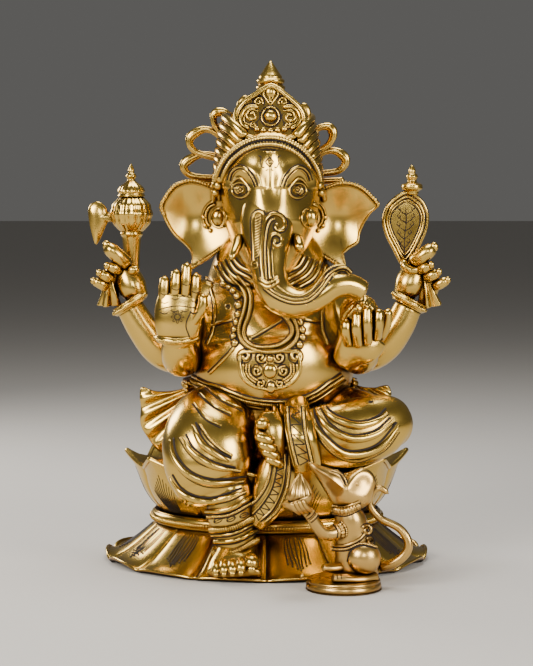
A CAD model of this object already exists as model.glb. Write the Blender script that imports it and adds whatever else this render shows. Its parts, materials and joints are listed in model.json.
import json
import math

import bmesh
import bpy
import numpy as np
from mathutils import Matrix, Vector
from mathutils.bvhtree import BVHTree

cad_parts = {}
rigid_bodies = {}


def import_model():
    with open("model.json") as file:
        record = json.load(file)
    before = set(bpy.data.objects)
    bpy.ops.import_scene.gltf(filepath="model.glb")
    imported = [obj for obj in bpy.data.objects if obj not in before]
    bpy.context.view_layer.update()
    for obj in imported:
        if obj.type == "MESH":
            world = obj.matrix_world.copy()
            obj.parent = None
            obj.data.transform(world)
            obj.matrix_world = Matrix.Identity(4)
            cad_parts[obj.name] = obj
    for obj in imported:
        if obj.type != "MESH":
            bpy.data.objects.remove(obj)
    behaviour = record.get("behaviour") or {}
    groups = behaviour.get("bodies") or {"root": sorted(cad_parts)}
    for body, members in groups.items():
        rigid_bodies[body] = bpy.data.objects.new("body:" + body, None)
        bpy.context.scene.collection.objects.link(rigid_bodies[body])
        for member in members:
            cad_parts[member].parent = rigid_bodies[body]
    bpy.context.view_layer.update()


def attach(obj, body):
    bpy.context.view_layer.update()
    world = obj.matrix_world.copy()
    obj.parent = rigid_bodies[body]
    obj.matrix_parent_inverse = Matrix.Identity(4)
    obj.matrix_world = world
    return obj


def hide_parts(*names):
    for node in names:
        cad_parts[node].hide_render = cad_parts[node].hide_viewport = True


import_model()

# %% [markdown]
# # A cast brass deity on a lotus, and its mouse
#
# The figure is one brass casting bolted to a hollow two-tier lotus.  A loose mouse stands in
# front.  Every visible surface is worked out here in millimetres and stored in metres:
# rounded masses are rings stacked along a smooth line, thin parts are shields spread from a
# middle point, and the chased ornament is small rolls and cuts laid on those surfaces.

MM = 0.001
MID = 3.0                                # the figure's centre line
EYE = np.array([0.0, -1534.0, 292.0])    # the standpoint from which ornament is laid out

# %% [markdown]
# ## Shapes
#
# A shape is a pair: points (n, 3) in millimetres and quads (m, 4).  Shapes are joined into
# one piece at the end, so a piece can hold a body and all the rolls chased on it.


# %% Grids and smooth lines
def spline(rows, count, closed=False):
    """Smooth line through rows of numbers: between two rows it is the cubic whose slope at
    each row is half the step from the row before it to the row after it."""
    p = np.asarray(rows, float)
    if closed:
        p = np.vstack([p[-1:], p, p[:2]])
    else:
        p = np.vstack([2 * p[0] - p[1], p, 2 * p[-1] - p[-2]])
    spans = len(p) - 3
    t = np.linspace(0, spans, count, endpoint=not closed)
    i = np.minimum(t.astype(int), spans - 1)
    f = (t - i)[:, None]
    a, b, c, d = p[i], p[i + 1], p[i + 2], p[i + 3]
    return 0.5 * (2 * b + (c - a) * f + (2 * a - 5 * b + 4 * c - d) * f**2
                  + (3 * b - a - 3 * c + d) * f**3)


def even(points, step, closed=False):
    """The same line cut into equal steps, by linear interpolation of its length."""
    p = np.vstack([points, points[:1]]) if closed else np.asarray(points, float)
    run = np.concatenate([[0], np.cumsum(np.linalg.norm(np.diff(p, axis=0), axis=1))])
    count = max(3, int(run[-1] / step) + 1)
    at = np.linspace(0, run[-1], count, endpoint=not closed)
    return np.stack([np.interp(at, run, p[:, k]) for k in range(p.shape[1])], axis=1)


def quads(rows, cols, wrap_rows=False, wrap_cols=True):
    """Quads of a grid of points, row by row."""
    r = np.arange(rows if wrap_rows else rows - 1)
    c = np.arange(cols if wrap_cols else cols - 1)
    r, c = np.meshgrid(r, c, indexing="ij")
    r, c = r.ravel(), c.ravel()
    r2, c2 = (r + 1) % rows, (c + 1) % cols
    return np.stack([r * cols + c, r * cols + c2, r2 * cols + c2, r2 * cols + c], axis=1)


def join(shapes):
    """Several shapes as one."""
    points, faces, base = [], [], 0
    for p, f in shapes:
        points.append(p)
        faces.append(f + base)
        base += len(p)
    return np.vstack(points), np.vstack(faces)


def unit(v):
    """Vectors divided by their length, so each is 1 long."""
    return v / np.maximum(np.linalg.norm(v, axis=-1, keepdims=True), 1e-9)


def axes_along(path, closed=False, front=(0, -1, 0)):
    """Tangent, side and front of every point: front is the given direction made square to
    the tangent, side is square to both."""
    if closed:
        along = unit(np.roll(path, -1, axis=0) - np.roll(path, 1, axis=0))
    else:
        along = unit(np.gradient(path, axis=0))
    ahead = np.broadcast_to(np.asarray(front, float), along.shape)
    ahead = unit(ahead - along * np.sum(ahead * along, axis=1, keepdims=True))
    return along, np.cross(along, ahead), ahead


# %% Rounded masses
def mass(stations, rows=120, cols=160, relief=None, front=(0, -1, 0), ends=(1, 1)):
    """Rings stacked along a smooth line.  A station is (x, y, z, half_side, half_front); a
    ring point is the station plus side times sine plus front times cosine of its angle.
    Both ends are rounded off by shrinking the last rings along a quarter circle.  The relief
    is a height added outwards, a function of the way along, the angle and the point."""
    line = spline(stations, rows)
    path, wide, deep = line[:, :3], line[:, 3], line[:, 4]
    along, side, ahead = axes_along(path, front=front)
    cap = 9
    turn = np.linspace(0, 1, cap, endpoint=False) * math.pi / 2
    blocks = []
    head = min(wide[0], deep[0]) * 0.55 * ends[0]
    tail = min(wide[-1], deep[-1]) * 0.55 * ends[1]
    for k, reach, order in ((0, -head, 1), (-1, tail, -1)):
        share = np.sin(turn)[::order]
        push = np.cos(turn)[::order]
        blocks.append((path[k] + np.outer(push * reach, along[k]), wide[k] * share,
                       deep[k] * share, np.repeat(side[k:k + 1] if k == 0 else side[-1:], cap, 0),
                       np.repeat(ahead[k:k + 1] if k == 0 else ahead[-1:], cap, 0)))
    path = np.vstack([blocks[0][0], path, blocks[1][0]])
    wide = np.concatenate([blocks[0][1], wide, blocks[1][1]])
    deep = np.concatenate([blocks[0][2], deep, blocks[1][2]])
    side = np.vstack([blocks[0][3], side, blocks[1][3]])
    ahead = np.vstack([blocks[0][4], ahead, blocks[1][4]])
    angle = np.linspace(0, 2 * math.pi, cols, endpoint=False)
    out = (side[:, None] * (np.sin(angle)[None, :, None] * wide[:, None, None])
           + ahead[:, None] * (np.cos(angle)[None, :, None] * deep[:, None, None]))
    grid = path[:, None] + out
    if relief is not None:
        way = np.clip((np.arange(len(path)) - cap) / (rows - 1), 0, 1)[:, None]
        height = relief(way, angle[None, :], grid)
        grid = grid + unit(out) * np.broadcast_to(height, grid.shape[:2])[..., None]
    return grid.reshape(-1, 3), quads(len(path), cols)


def tube(path, radius, sides=8, closed=False, flat=1.0, mill=0.0, pitch=1.4, front=(0, -1, 0)):
    """Roll of round or flattened section along a path.  A milled roll swells and thins as a
    cosine of the length, once for each pitch."""
    step = max(0.3, min(pitch / 4, 0.35) if mill else float(np.max(radius)) * 0.55)
    rows = np.asarray(path, float)
    if np.ndim(radius):
        rows = np.hstack([rows, np.asarray(radius, float)[:, None]])
    rows = even(rows, step, closed)
    size = rows[:, 3] if rows.shape[1] > 3 else np.full(len(rows), float(radius))
    rows = rows[:, :3]
    if mill:
        size = size * (1 + mill * np.cos(2 * math.pi * np.arange(len(rows)) * step / pitch))
    if not closed:
        taper = np.minimum(np.arange(len(rows)), np.arange(len(rows))[::-1]) * step
        size = size * np.sqrt(np.clip(1 - (1 - taper / np.maximum(size, 1e-6)).clip(0) ** 2, 0, 1))
    along, side, ahead = axes_along(rows, closed, front)
    angle = np.linspace(0, 2 * math.pi, sides, endpoint=False)
    grid = (rows[:, None] + side[:, None] * (np.sin(angle)[None, :, None] * size[:, None, None])
            + ahead[:, None] * (np.cos(angle)[None, :, None] * size[:, None, None] * flat))
    return grid.reshape(-1, 3), quads(len(rows), sides, closed)


def limb(stations, sides=20, **more):
    """Round roll whose stations (x, y, z, radius) are joined by a smooth line."""
    line = spline(stations, 14 * len(stations))
    return tube(line[:, :3], line[:, 3], sides, **more)


def ball(centre, radii, rows=24, cols=32, relief=None, lean=0.0):
    """Ellipsoid, leaned about the front axis by an angle in degrees."""
    up = np.linspace(0, math.pi, rows)[:, None]
    round_ = np.linspace(0, 2 * math.pi, cols, endpoint=False)[None, :]
    d = np.stack([np.sin(up) * np.cos(round_), np.sin(up) * np.sin(round_),
                  np.cos(up) * np.ones_like(round_)], axis=-1)
    size = np.asarray(radii, float) * np.ones(3)
    p = d * size
    if relief is not None:
        p = p + d * relief(up, round_)[..., None]
    c, s = math.cos(math.radians(lean)), math.sin(math.radians(lean))
    p = np.stack([p[..., 0] * c + p[..., 2] * s, p[..., 1], p[..., 2] * c - p[..., 0] * s], -1)
    return (p + np.asarray(centre, float)).reshape(-1, 3), quads(rows, cols)[:, ::-1]


def turned(centre, profile, rows=90, cols=96, relief=None):
    """Profile (radius, height) spun about an upright line."""
    line = spline(profile, rows)
    angle = np.linspace(0, 2 * math.pi, cols, endpoint=False)[None, :]
    radius, height = line[:, 0:1], line[:, 1:2]
    if relief is not None:
        radius = radius + relief(angle, height)
    ends = np.ones((rows, 1))
    ends[[0, -1]] = 0                        # closed at both poles
    radius = np.maximum(radius, 0) * ends
    radius, height = np.broadcast_arrays(radius, height + 0 * angle)
    grid = np.stack([radius * np.cos(angle), radius * np.sin(angle), height], axis=-1)
    return (grid + np.asarray(centre, float)).reshape(-1, 3), quads(rows, cols)


def shield(outline, middle, face, back, rings=40, count=220, lean=None):
    """Thin form spread from a middle point (x, z) to a smooth outline (x, z).  The depth of
    the front is face(share of the way out, angle, x, z) and of the back is back(...); the
    two sheets meet at the outline in a rounded edge."""
    edge = even(spline(outline, 400, closed=True), 1.0, closed=True)
    edge = even(edge, 1.0, True)
    at = np.linspace(0, len(edge), count, endpoint=False)
    edge = np.stack([np.interp(at, np.arange(len(edge) + 1), np.append(edge[:, k], edge[0, k]))
                     for k in range(2)], axis=1)
    middle = np.asarray(middle, float)
    share = np.linspace(0, 1, rings)[:, None]
    x = middle[0] + share * (edge[None, :, 0] - middle[0])
    z = middle[1] + share * (edge[None, :, 1] - middle[1])
    angle = np.arctan2(z - middle[1], x - middle[0])
    y_front = face(share, angle, x, z) * np.ones_like(x)
    y_back = back(share, angle, x, z) * np.ones_like(x)
    sheet = [np.stack([x, y, z], axis=-1) for y in (y_front, y_back)]
    grid = np.vstack([sheet[0], sheet[1][::-1]])
    if lean is not None:
        grid = lean(grid)
    return grid.reshape(-1, 3), quads(2 * rings, count)


# %% [markdown]
# ## Laying ornament on a surface
#
# A line of ornament is written on the upright plane through the origin as it is seen from
# the standpoint.  Each of its points is carried along the sight line to the first surface
# it meets, so a curl written once lies on whatever is there.


# %% Laying lines on surfaces
def tree(shapes):
    """Search tree of joined shapes, which sight lines are cast on."""
    points, faces = join(shapes)
    return BVHTree.FromPolygons(points.tolist(), faces.tolist())


STAND_OFF = 1534.0  # from the standpoint to the upright plane, where nothing is met


def lay(line, ground, lift=0.0, step=0.8, smooth=True, closed=False, default=None):
    """Carry a line (x, z) from the upright plane on to the ground along the sight lines."""
    flat = np.asarray(line, float)
    if smooth and len(flat) > 2:
        flat = spline(flat, max(24, 12 * len(flat)), closed)
    flat = even(flat, step, closed)
    plane = np.stack([flat[:, 0], np.zeros(len(flat)), flat[:, 1]], axis=1)
    sight = unit(plane - EYE)
    found, last = [], default
    for k in range(len(plane)):
        hit = ground.ray_cast(Vector(EYE + sight[k] * 1200), Vector(sight[k]), 600)
        if hit[0] is not None:
            last = float(np.dot(np.array(hit[0]) - EYE, sight[k]))
        found.append(last)
    known = [d for d in found if d is not None]
    first = known[0] if known else STAND_OFF
    reach = np.array([first if d is None else d for d in found])
    if len(reach) > 6:
        reach = np.convolve(np.pad(reach, 2, mode="edge"), np.ones(5) / 5, mode="valid")
    return EYE + sight * (reach - lift)[:, None]


def roll(line, ground, radius, lift=None, **more):
    """Raised roll laid on the ground."""
    keys = {k: more.pop(k) for k in ("smooth", "closed", "step", "default") if k in more}
    lift = 0.25 * float(np.max(radius)) if lift is None else lift
    path = lay(line, ground, lift, **keys)
    if np.ndim(radius):
        radius = np.interp(np.linspace(0, 1, len(path)), np.linspace(0, 1, len(radius)), radius)
    return tube(path, radius, closed=keys.get("closed", False), **more)


def scroll(centre, radius, turns, start, hand=1, inner=0.18):
    """Curl on the plane: the radius shrinks evenly with the angle."""
    t = np.linspace(0, 1, int(18 * turns) + 6)
    size = radius * (1 - (1 - inner) * t)
    angle = math.radians(start) + hand * t * turns * 2 * math.pi
    return np.stack([centre[0] + size * np.cos(angle), centre[1] + size * np.sin(angle)], axis=1)


def bump(d, width):
    """Smooth hill of height 1, a bell curve of the distance."""
    return np.exp(-(d / width) ** 2)


# %% [markdown]
# ## Brass
#
# One recipe makes every brass: a warm polished metal where the surface stands proud, and the
# dark antique stain where it is hemmed in, found from how much open space each spot sees.


# %% Colours and materials
def linear(code):
    """sRGB hex to linear colour."""
    c = np.array([int(code[k:k + 2], 16) / 255 for k in (1, 3, 5)])
    c = np.where(c <= 0.04045, c / 12.92, ((c + 0.055) / 1.055) ** 2.4)
    return (*c.tolist(), 1.0)


class Recipe:
    """A material and a short way to add its nodes."""

    def __init__(self, name):
        self.material = bpy.data.materials.new(name)
        self.material.use_nodes = True
        self.tree = self.material.node_tree
        self.tree.nodes.clear()
        self.out = self.add("ShaderNodeOutputMaterial")

    def add(self, kind, settings=None, **sockets):
        """Add a node; a socket value that is a socket is linked, any other is set."""
        node = self.tree.nodes.new(kind)
        for key, value in (settings or {}).items():
            setattr(node, key, value)
        for key, value in sockets.items():
            slot = node.inputs[int(key[1:])] if key[0] == "_" and key[1:].isdigit() else (
                node.inputs[key.replace("_", " ")])
            if isinstance(value, bpy.types.NodeSocket):
                self.tree.links.new(value, slot)
            else:
                slot.default_value = value
        return node


def brass(name, polish, shade, stain, rough=0.24, reach=0.0045, wear=0.5):
    """Polished brass with dark stain in the recesses."""
    m = Recipe(name)
    where = m.add("ShaderNodeTexCoord").outputs["Object"]
    open_ = m.add("ShaderNodeAmbientOcclusion", {"samples": 8, "only_local": False},
                  Distance=reach).outputs["AO"]
    wide = m.add("ShaderNodeAmbientOcclusion", {"samples": 6, "only_local": False},
                 Distance=reach * 5).outputs["AO"]
    cloud = m.add("ShaderNodeTexNoise", Vector=where, Scale=60.0, Detail=4.0).outputs["Fac"]
    grain = m.add("ShaderNodeTexNoise", Vector=where, Scale=900.0, Detail=3.0).outputs["Fac"]
    shift = m.add("ShaderNodeMath", {"operation": "MULTIPLY_ADD"}, _0=cloud, _1=0.30, _2=-0.15)
    seen = m.add("ShaderNodeMath", {"operation": "ADD"}, _0=open_, _1=shift.outputs[0])
    clean = m.add("ShaderNodeMapRange", {"interpolation_type": "SMOOTHSTEP"},
                  Value=seen.outputs[0], From_Min=0.30, From_Max=0.86).outputs["Result"]
    warm = m.add("ShaderNodeMapRange", {"interpolation_type": "SMOOTHSTEP"},
                 Value=wide, From_Min=0.25, From_Max=0.95).outputs["Result"]
    metal = m.add("ShaderNodeMix", {"data_type": "RGBA"}, Factor=warm)
    metal.inputs["A"].default_value = linear(shade)
    metal.inputs["B"].default_value = linear(polish)
    colour = m.add("ShaderNodeMix", {"data_type": "RGBA"}, Factor=clean)
    colour.inputs["A"].default_value = linear(stain)
    m.tree.links.new(metal.outputs["Result"], colour.inputs["B"])
    dull = m.add("ShaderNodeMapRange", Value=clean, From_Min=0.0, From_Max=1.0,
                 To_Min=0.58, To_Max=rough).outputs["Result"]
    vary = m.add("ShaderNodeMath", {"operation": "MULTIPLY_ADD"}, _0=cloud, _1=0.16, _2=-0.08)
    gloss = m.add("ShaderNodeMath", {"operation": "ADD"}, _0=dull, _1=vary.outputs[0])
    lumps = m.add("ShaderNodeTexNoise", Vector=where, Scale=140.0, Detail=2.0).outputs["Fac"]
    height = m.add("ShaderNodeMath", {"operation": "MULTIPLY_ADD"}, _0=grain, _1=0.12, _2=0.0)
    total = m.add("ShaderNodeMath", {"operation": "ADD"}, _0=height.outputs[0], _1=lumps)
    rise = m.add("ShaderNodeBump", Strength=0.22 * wear, Distance=0.0006,
                 Height=total.outputs[0]).outputs["Normal"]
    look = m.add("ShaderNodeBsdfPrincipled", Base_Color=colour.outputs["Result"], Metallic=1.0,
                 Roughness=gloss.outputs[0], Normal=rise)
    m.tree.links.new(look.outputs["BSDF"], m.out.inputs["Surface"])
    return m.material


def plain(name, colour, rough, metallic=0.0, uneven=0.12):
    """One colour that a slow cloud makes a little darker in places, with uneven gloss."""
    m = Recipe(name)
    where = m.add("ShaderNodeTexCoord").outputs["Object"]
    cloud = m.add("ShaderNodeTexNoise", Vector=where, Scale=220.0, Detail=5.0).outputs["Fac"]
    gloss = m.add("ShaderNodeMapRange", Value=cloud, To_Min=rough - 0.08, To_Max=rough + 0.08)
    tint = m.add("ShaderNodeMix", {"data_type": "RGBA"}, Factor=cloud)
    light, dark = linear(colour), [c * (1 - uneven) for c in linear(colour)[:3]] + [1.0]
    tint.inputs["A"].default_value = light
    tint.inputs["B"].default_value = dark
    look = m.add("ShaderNodeBsdfPrincipled", Base_Color=tint.outputs["Result"], Metallic=metallic,
                 Roughness=gloss.outputs["Result"])
    m.tree.links.new(look.outputs["BSDF"], m.out.inputs["Surface"])
    return m.material


# Lacquered cast brass of the figure, polished on the highs, stained in the chasing.
FIGURE_BRASS = brass("figure_brass", "#dab558", "#96692a", "#1e1005", rough=0.23, wear=0.26)
# The mouse is a separate pour, paler and a little rougher.
MOUSE_BRASS = brass("mouse_brass", "#d3ab60", "#8c6532", "#201308", rough=0.29, wear=0.3)
# Antique stain left in engraved cuts.
CUT_STAIN = plain("stained_cut", "#1d0e05", 0.62, 0.25, 0.3)
# Dulled steel of the hidden studs, washers and nuts.
STEEL = plain("dull_steel", "#8c8d8f", 0.42, 1.0)


# %% Pieces
def outward(points, faces):
    """Faces turned so that the shape's volume counts as positive."""
    p = points[faces]
    cross = np.cross(p[:, 2] - p[:, 0], p[:, 3] - p[:, 1])
    volume = np.sum(np.sum(p.mean(axis=1) * cross, axis=1))
    return faces if volume >= 0 else faces[:, ::-1]


def weld(mesh):
    """Join points that fall on one spot, so poles and seams close; gives the open edges left."""
    work = bmesh.new()
    work.from_mesh(mesh)
    bmesh.ops.remove_doubles(work, verts=work.verts, dist=2e-6)
    bmesh.ops.dissolve_degenerate(work, edges=work.edges, dist=1e-7)
    left_open = sum(1 for edge in work.edges if edge.is_boundary)
    work.to_mesh(mesh)
    work.free()
    return left_open


def piece(name, shapes, body, nodes=(), cuts=(), metal=None):
    """One finished object from shapes in millimetres, standing in for CAD nodes."""
    parts = [(p, outward(p, f), 0) for p, f in shapes] + [(p, outward(p, f), 1) for p, f in cuts]
    points, faces = join([(p, f) for p, f, _ in parts])
    which = np.concatenate([np.full(len(f), k) for _, f, k in parts])
    mesh = bpy.data.meshes.new(name)
    mesh.vertices.add(len(points))
    mesh.vertices.foreach_set("co", (points * MM).astype(np.float32).ravel())
    mesh.loops.add(faces.size)
    mesh.loops.foreach_set("vertex_index", faces.astype(np.int32).ravel())
    mesh.polygons.add(len(faces))
    mesh.polygons.foreach_set("loop_start", np.arange(0, faces.size, 4, dtype=np.int32))
    mesh.materials.append(metal or FIGURE_BRASS)
    mesh.materials.append(CUT_STAIN)
    mesh.polygons.foreach_set("material_index", which.astype(np.int32))
    mesh.polygons.foreach_set("use_smooth", np.ones(len(faces), bool))
    mesh.update(calc_edges=True)
    open_edges = weld(mesh)
    item = bpy.data.objects.new(name, mesh)
    bpy.context.scene.collection.objects.link(item)
    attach(item, body)
    if nodes:
        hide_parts(*nodes)
    print("%-18s %7d faces, %d open edges" % (name, len(mesh.polygons), open_edges))
    return item


# %% [markdown]
# ## The lotus
#
# Each tier is one closed grid.  Its columns go round the oval and its rows go from the waist
# out over the petals, round their lips and back underneath.  Petals come from a wave in the
# angle: zero in the notch between two petals and one on each petal's middle line.


# %% Petal geometry
LOWER_PETALS, UPPER_PETALS = 14, 10


def across(angle, petals):
    """Place across a petal, -1 to 1, for an angle; a notch faces the front."""
    return ((angle + math.pi / 2) * petals / (2 * math.pi)) % 1.0 * 2 - 1


def lower_top(angle, t):
    """Upper face of the lower petals; t runs from the waist to the lip."""
    s = np.abs(across(angle, LOWER_PETALS))
    reach = t * (1 - 0.055 * s**12)
    half_x, half_y = 84 + 39 * reach, 63 + 41 * reach
    upturn = 1.4 + 4.6 * np.cos(angle) ** 4          # the side petals curl up at their lips
    z = 1.2 + 28.5 * (1 - t) ** 1.35 + upturn * t**6 * (1 - s**3)
    z = z + 1.1 * (1 - s**4) * np.sqrt(np.clip(t * (1 - t), 0, 1)) * 2
    z = z - 2.2 * bump(1 - s, 0.04) * (t < 0.985)
    return np.stack([half_x * np.cos(angle), half_y * np.sin(angle), z + 0 * angle], axis=-1)


def upper_side(angle, t):
    """Outer face of the upper petals; t runs from the waist to the lip."""
    s = np.abs(across(angle, UPPER_PETALS))
    flare = t**0.8 + 0.16 * np.clip(t - 0.8, 0, 1) ** 1.4 * 5
    tip = (1 - s) ** 1.3
    half_x = 80 + 17 * flare + 10 * tip * t**4
    half_y = 60 + 17 * flare + 10 * tip * t**4
    half_x, half_y = [h + 4.5 * np.sin(math.pi * np.clip(t, 0, 1)) * (1 - 0.35 * s**4)
                      for h in (half_x, half_y)]
    z = 37 + 36 * t + 10 * tip * t**3
    half_x = half_x - 2.2 * bump(1 - s, 0.05)
    half_y = half_y - 2.2 * bump(1 - s, 0.05)
    return np.stack([half_x * np.cos(angle), half_y * np.sin(angle), z + 0 * angle], axis=-1)


def level(angle, z, half_x, half_y):
    """Level oval: half_x times the cosine and half_y times the sine of the angle, at height z."""
    z = z + 0 * angle
    return np.stack([half_x * np.cos(angle), half_y * np.sin(angle), z], axis=-1)


# %% Lower tier
turn = np.linspace(0, 2 * math.pi, LOWER_PETALS * 36, endpoint=False)
face = [lower_top(turn, t) for t in np.linspace(0, 1, 34)]
lip = face[-1]


def shrunk(k):
    """The lip drawn in to the share k of its size, at its own height."""
    return lip * [k, k, 1]


lower_rows = ([level(turn, 30, x, y) for x, y in ((0, 0), (40, 30), (82, 61))] + face
              + [shrunk(0.998) - [0, 0, 1.2], shrunk(0.985) - [0, 0, 2.2]]
              + [np.where([0, 0, 1], np.maximum(shrunk(0.955) - [0, 0, 4.2], 0.0),
                          shrunk(0.955))]
              + [level(turn, 0.0, 102, 85), level(turn, 0.0, 98, 81), level(turn, 8, 92, 74),
                 level(turn, 20, 72, 52), level(turn, 24, 40, 30), level(turn, 24, 0, 0)])
lower_tier = (np.vstack(lower_rows), quads(len(lower_rows), len(turn)))

fan = []
for k in range(LOWER_PETALS):
    middle = -math.pi / 2 + (k + 0.5) * 2 * math.pi / LOWER_PETALS
    notch = lower_top(middle + math.pi / LOWER_PETALS, np.linspace(0.02, 1, 40))
    fan.append(tube(notch + [0, 0, 0.2], np.linspace(0.5, 1.1, 40), sides=8, front=(0, 0, 1)))
    for j in range(-3, 4):
        t = np.linspace(0.10, 0.72 - 0.05 * abs(j), 26)
        s = j / 3.9 * (0.34 + 0.30 * t) + 0.06 * np.sin(t * 7) * np.sign(j)
        fan.append(tube(lower_top(middle + s * math.pi / LOWER_PETALS, t) + [0, 0, 0.05],
                        np.linspace(0.28, 0.62, 26), sides=6, front=(0, 0, 1)))
        fan.append(ball(lower_top(middle + s[-1] * math.pi / LOWER_PETALS, t[-1] + 0.03), 0.9, 8, 12))
lower_lip = tube(np.maximum(lip, [-999, -999, 1.3]), 1.2, closed=True, front=(0, 0, 1))
piece("lotus_lower", [lower_tier, lower_lip], "idol", ["lotus_lower_tier"], fan)

# %% Waist ring: a roll between two milled cords
def oval(half_x, half_y, z):
    """Whole level oval of 400 points."""
    return level(np.linspace(0, 2 * math.pi, 400, endpoint=False), z, half_x, half_y)


waist = [tube(oval(84.5, 63.5, 34.2), 4.4, sides=14, closed=True, front=(0, 0, 1)),
         tube(oval(87.8, 66.8, 33.2), 2.0, closed=True, mill=0.26, pitch=2.2, front=(0, 0, 1)),
         tube(oval(85.6, 64.6, 37.6), 1.1, closed=True, front=(0, 0, 1)),
         tube(oval(85.8, 64.8, 30.4), 1.3, closed=True, front=(0, 0, 1))]
piece("lotus_waist", waist, "idol", ["lotus_waist_ring"])

# %% Upper tier, the seat
turn = np.linspace(0, 2 * math.pi, UPPER_PETALS * 48, endpoint=False)
face = [upper_side(turn, t) for t in np.linspace(0, 1, 34)]
lip = face[-1]
upper_rows = ([level(turn, 37, x, y) for x, y in ((0, 0), (60, 42))] + face
              + [lip * [0.985, 0.985, 1] + [0, 0, 0.9], lip * [0.955, 0.955, 1] - [0, 0, 0.4],
                 lip * [0.90, 0.90, 1] - [0, 0, 3.0]]
              + [level(turn, 77, 82, 61), level(turn, 77, 40, 30), level(turn, 77, 0, 0)])
upper_tier = (np.vstack(upper_rows), quads(len(upper_rows), len(turn)))
veins = []
for k in range(UPPER_PETALS):
    middle = -math.pi / 2 + (k + 0.5) * 2 * math.pi / UPPER_PETALS
    for j in range(-5, 6):
        t = np.linspace(0.10, 0.80 - 0.05 * abs(j), 26)
        s = j / 6.2 * (0.25 + 0.55 * t) + 0.03 * np.sin(t * 10)
        path = upper_side(middle + s * math.pi / UPPER_PETALS, t)
        veins.append(tube(path * [1.001, 1.001, 1], np.linspace(0.45, 0.2, 26), sides=6))
upper_lip = tube(lip * [0.992, 0.992, 1], 1.9, sides=12, closed=True, front=(0, 0, 1))
piece("lotus_upper", [upper_tier, upper_lip], "idol", ["lotus_upper_tier"], veins)

# %% [markdown]
# ## Body, arms and legs
#
# The big masses come first, kept in named shapes because ornament is laid on them later.


# %% Torso and hips
def chest_relief(way, angle, p):
    """Two soft breasts on the front of the chest and a shallow fold above the belly."""
    front = np.clip(np.cos(angle), 0, 1)
    x, z = p[..., 0] - MID, p[..., 2]
    breasts = 4.5 * (bump(np.hypot(x + 27, z - 192), 17) + bump(np.hypot(x - 27, z - 192), 17))
    return (breasts - 1.5 * bump(z - 174 - 0.004 * x**2, 5)) * front


torso = mass([
    (3, -2, 118, 54, 48), (3, -6, 134, 59, 55), (4, -9, 150, 63, 60), (4, -7, 168, 60, 56),
    (3, -5, 184, 56, 47), (3, -1, 198, 54, 38), (3, 3, 210, 47, 30), (3, 4, 220, 34, 24),
    (3, 0, 230, 25, 22)], rows=150, cols=200, relief=chest_relief)
collar = mass([(3, 3, 206, 50, 33), (3, 0, 218, 47, 36), (3, -6, 229, 43, 38),
               (3, -11, 240, 37, 36), (3, -14, 250, 29, 31)], rows=60, cols=160)
hips = mass([(3, 4, 82, 60, 48), (3, 2, 94, 68, 56), (3, -2, 112, 67, 58), (3, -4, 126, 60, 55)],
            rows=50, cols=160)

# %% Legs
ACROSS = (1, 0, 0)
right_knee = mass([
    (-14, 10, 112, 24, 28), (-28, -18, 112, 27, 32), (-38, -44, 108, 29, 34),
    (-42, -64, 98, 29, 34.5), (-42, -73, 84, 26, 33.5), (-39, -75, 71, 21, 30),
    (-36, -76, 63, 16, 26)], front=ACROSS)
left_thigh = mass([
    (22, 8, 110, 25, 25), (42, -14, 110, 26, 27), (64, -32, 109, 25, 25), (80, -44, 108, 22, 22)],
                  front=(0, 0, 1))
left_shin = mass([
    (95.1, -46, 108.6, 17, 17), (88.8, -52, 109.3, 22, 20), (73.6, -60, 105.9, 25, 21),
    (58.6, -66, 103.7, 25, 20), (43.7, -70, 102.7, 23, 18), (29, -72, 101.5, 20, 15),
        (15.8, -72, 100, 16, 12)],
                 front=(0, -1, 0))
right_calf = mass([
    (-27.5, -74, 64.8, 17.5, 17), (-26.1, -75, 53.8, 18, 17.5), (-25.3, -76, 41.4, 17.5, 17),
    (-23.1, -77, 29.7, 15.6, 15.4), (-21.6, -78, 19.5, 14.6, 14.5)], rows=60, cols=120)
lap = mass([
    (12.1, -70, 99.7, 9, 10), (9.2, -76, 87.2, 13, 11), (6.2, -79, 72.9, 15, 11),
    (2.6, -80, 59.8, 14, 10), (-3.3, -80, 48, 11, 9), (-7.7, -79, 40.4, 8, 7)], rows=60, cols=100)
sash = mass([
    (21.8, -60, 126.7, 9, 6), (22.4, -72, 120.7, 10, 7), (23.6, -84, 113.3, 11, 7),
        (25.7, -90, 102.4, 11, 7),
    (28, -88, 90.4, 11, 6), (29.5, -84, 81, 10.5, 5)], rows=60, cols=90, ends=(0.3, 0.3))
tails = [
    limb([(-0.4, -58, 125, 2), (1.8, -66, 117.7, 3), (5.5, -76, 107.9, 3.2), (12, -84, 95, 2.2)]),
    limb([(4.8, -60, 125.9, 2), (7.7, -70, 117.5, 3.2), (11.3, -80, 106.9, 3.2),
          (14.9, -86, 93.8, 2.2)]),
    limb([(10.7, -62, 126.2, 2), (12.8, -74, 116.5, 2.8), (15.6, -84, 106, 2.8),
          (17.8, -86, 90.1, 2)])]

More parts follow.
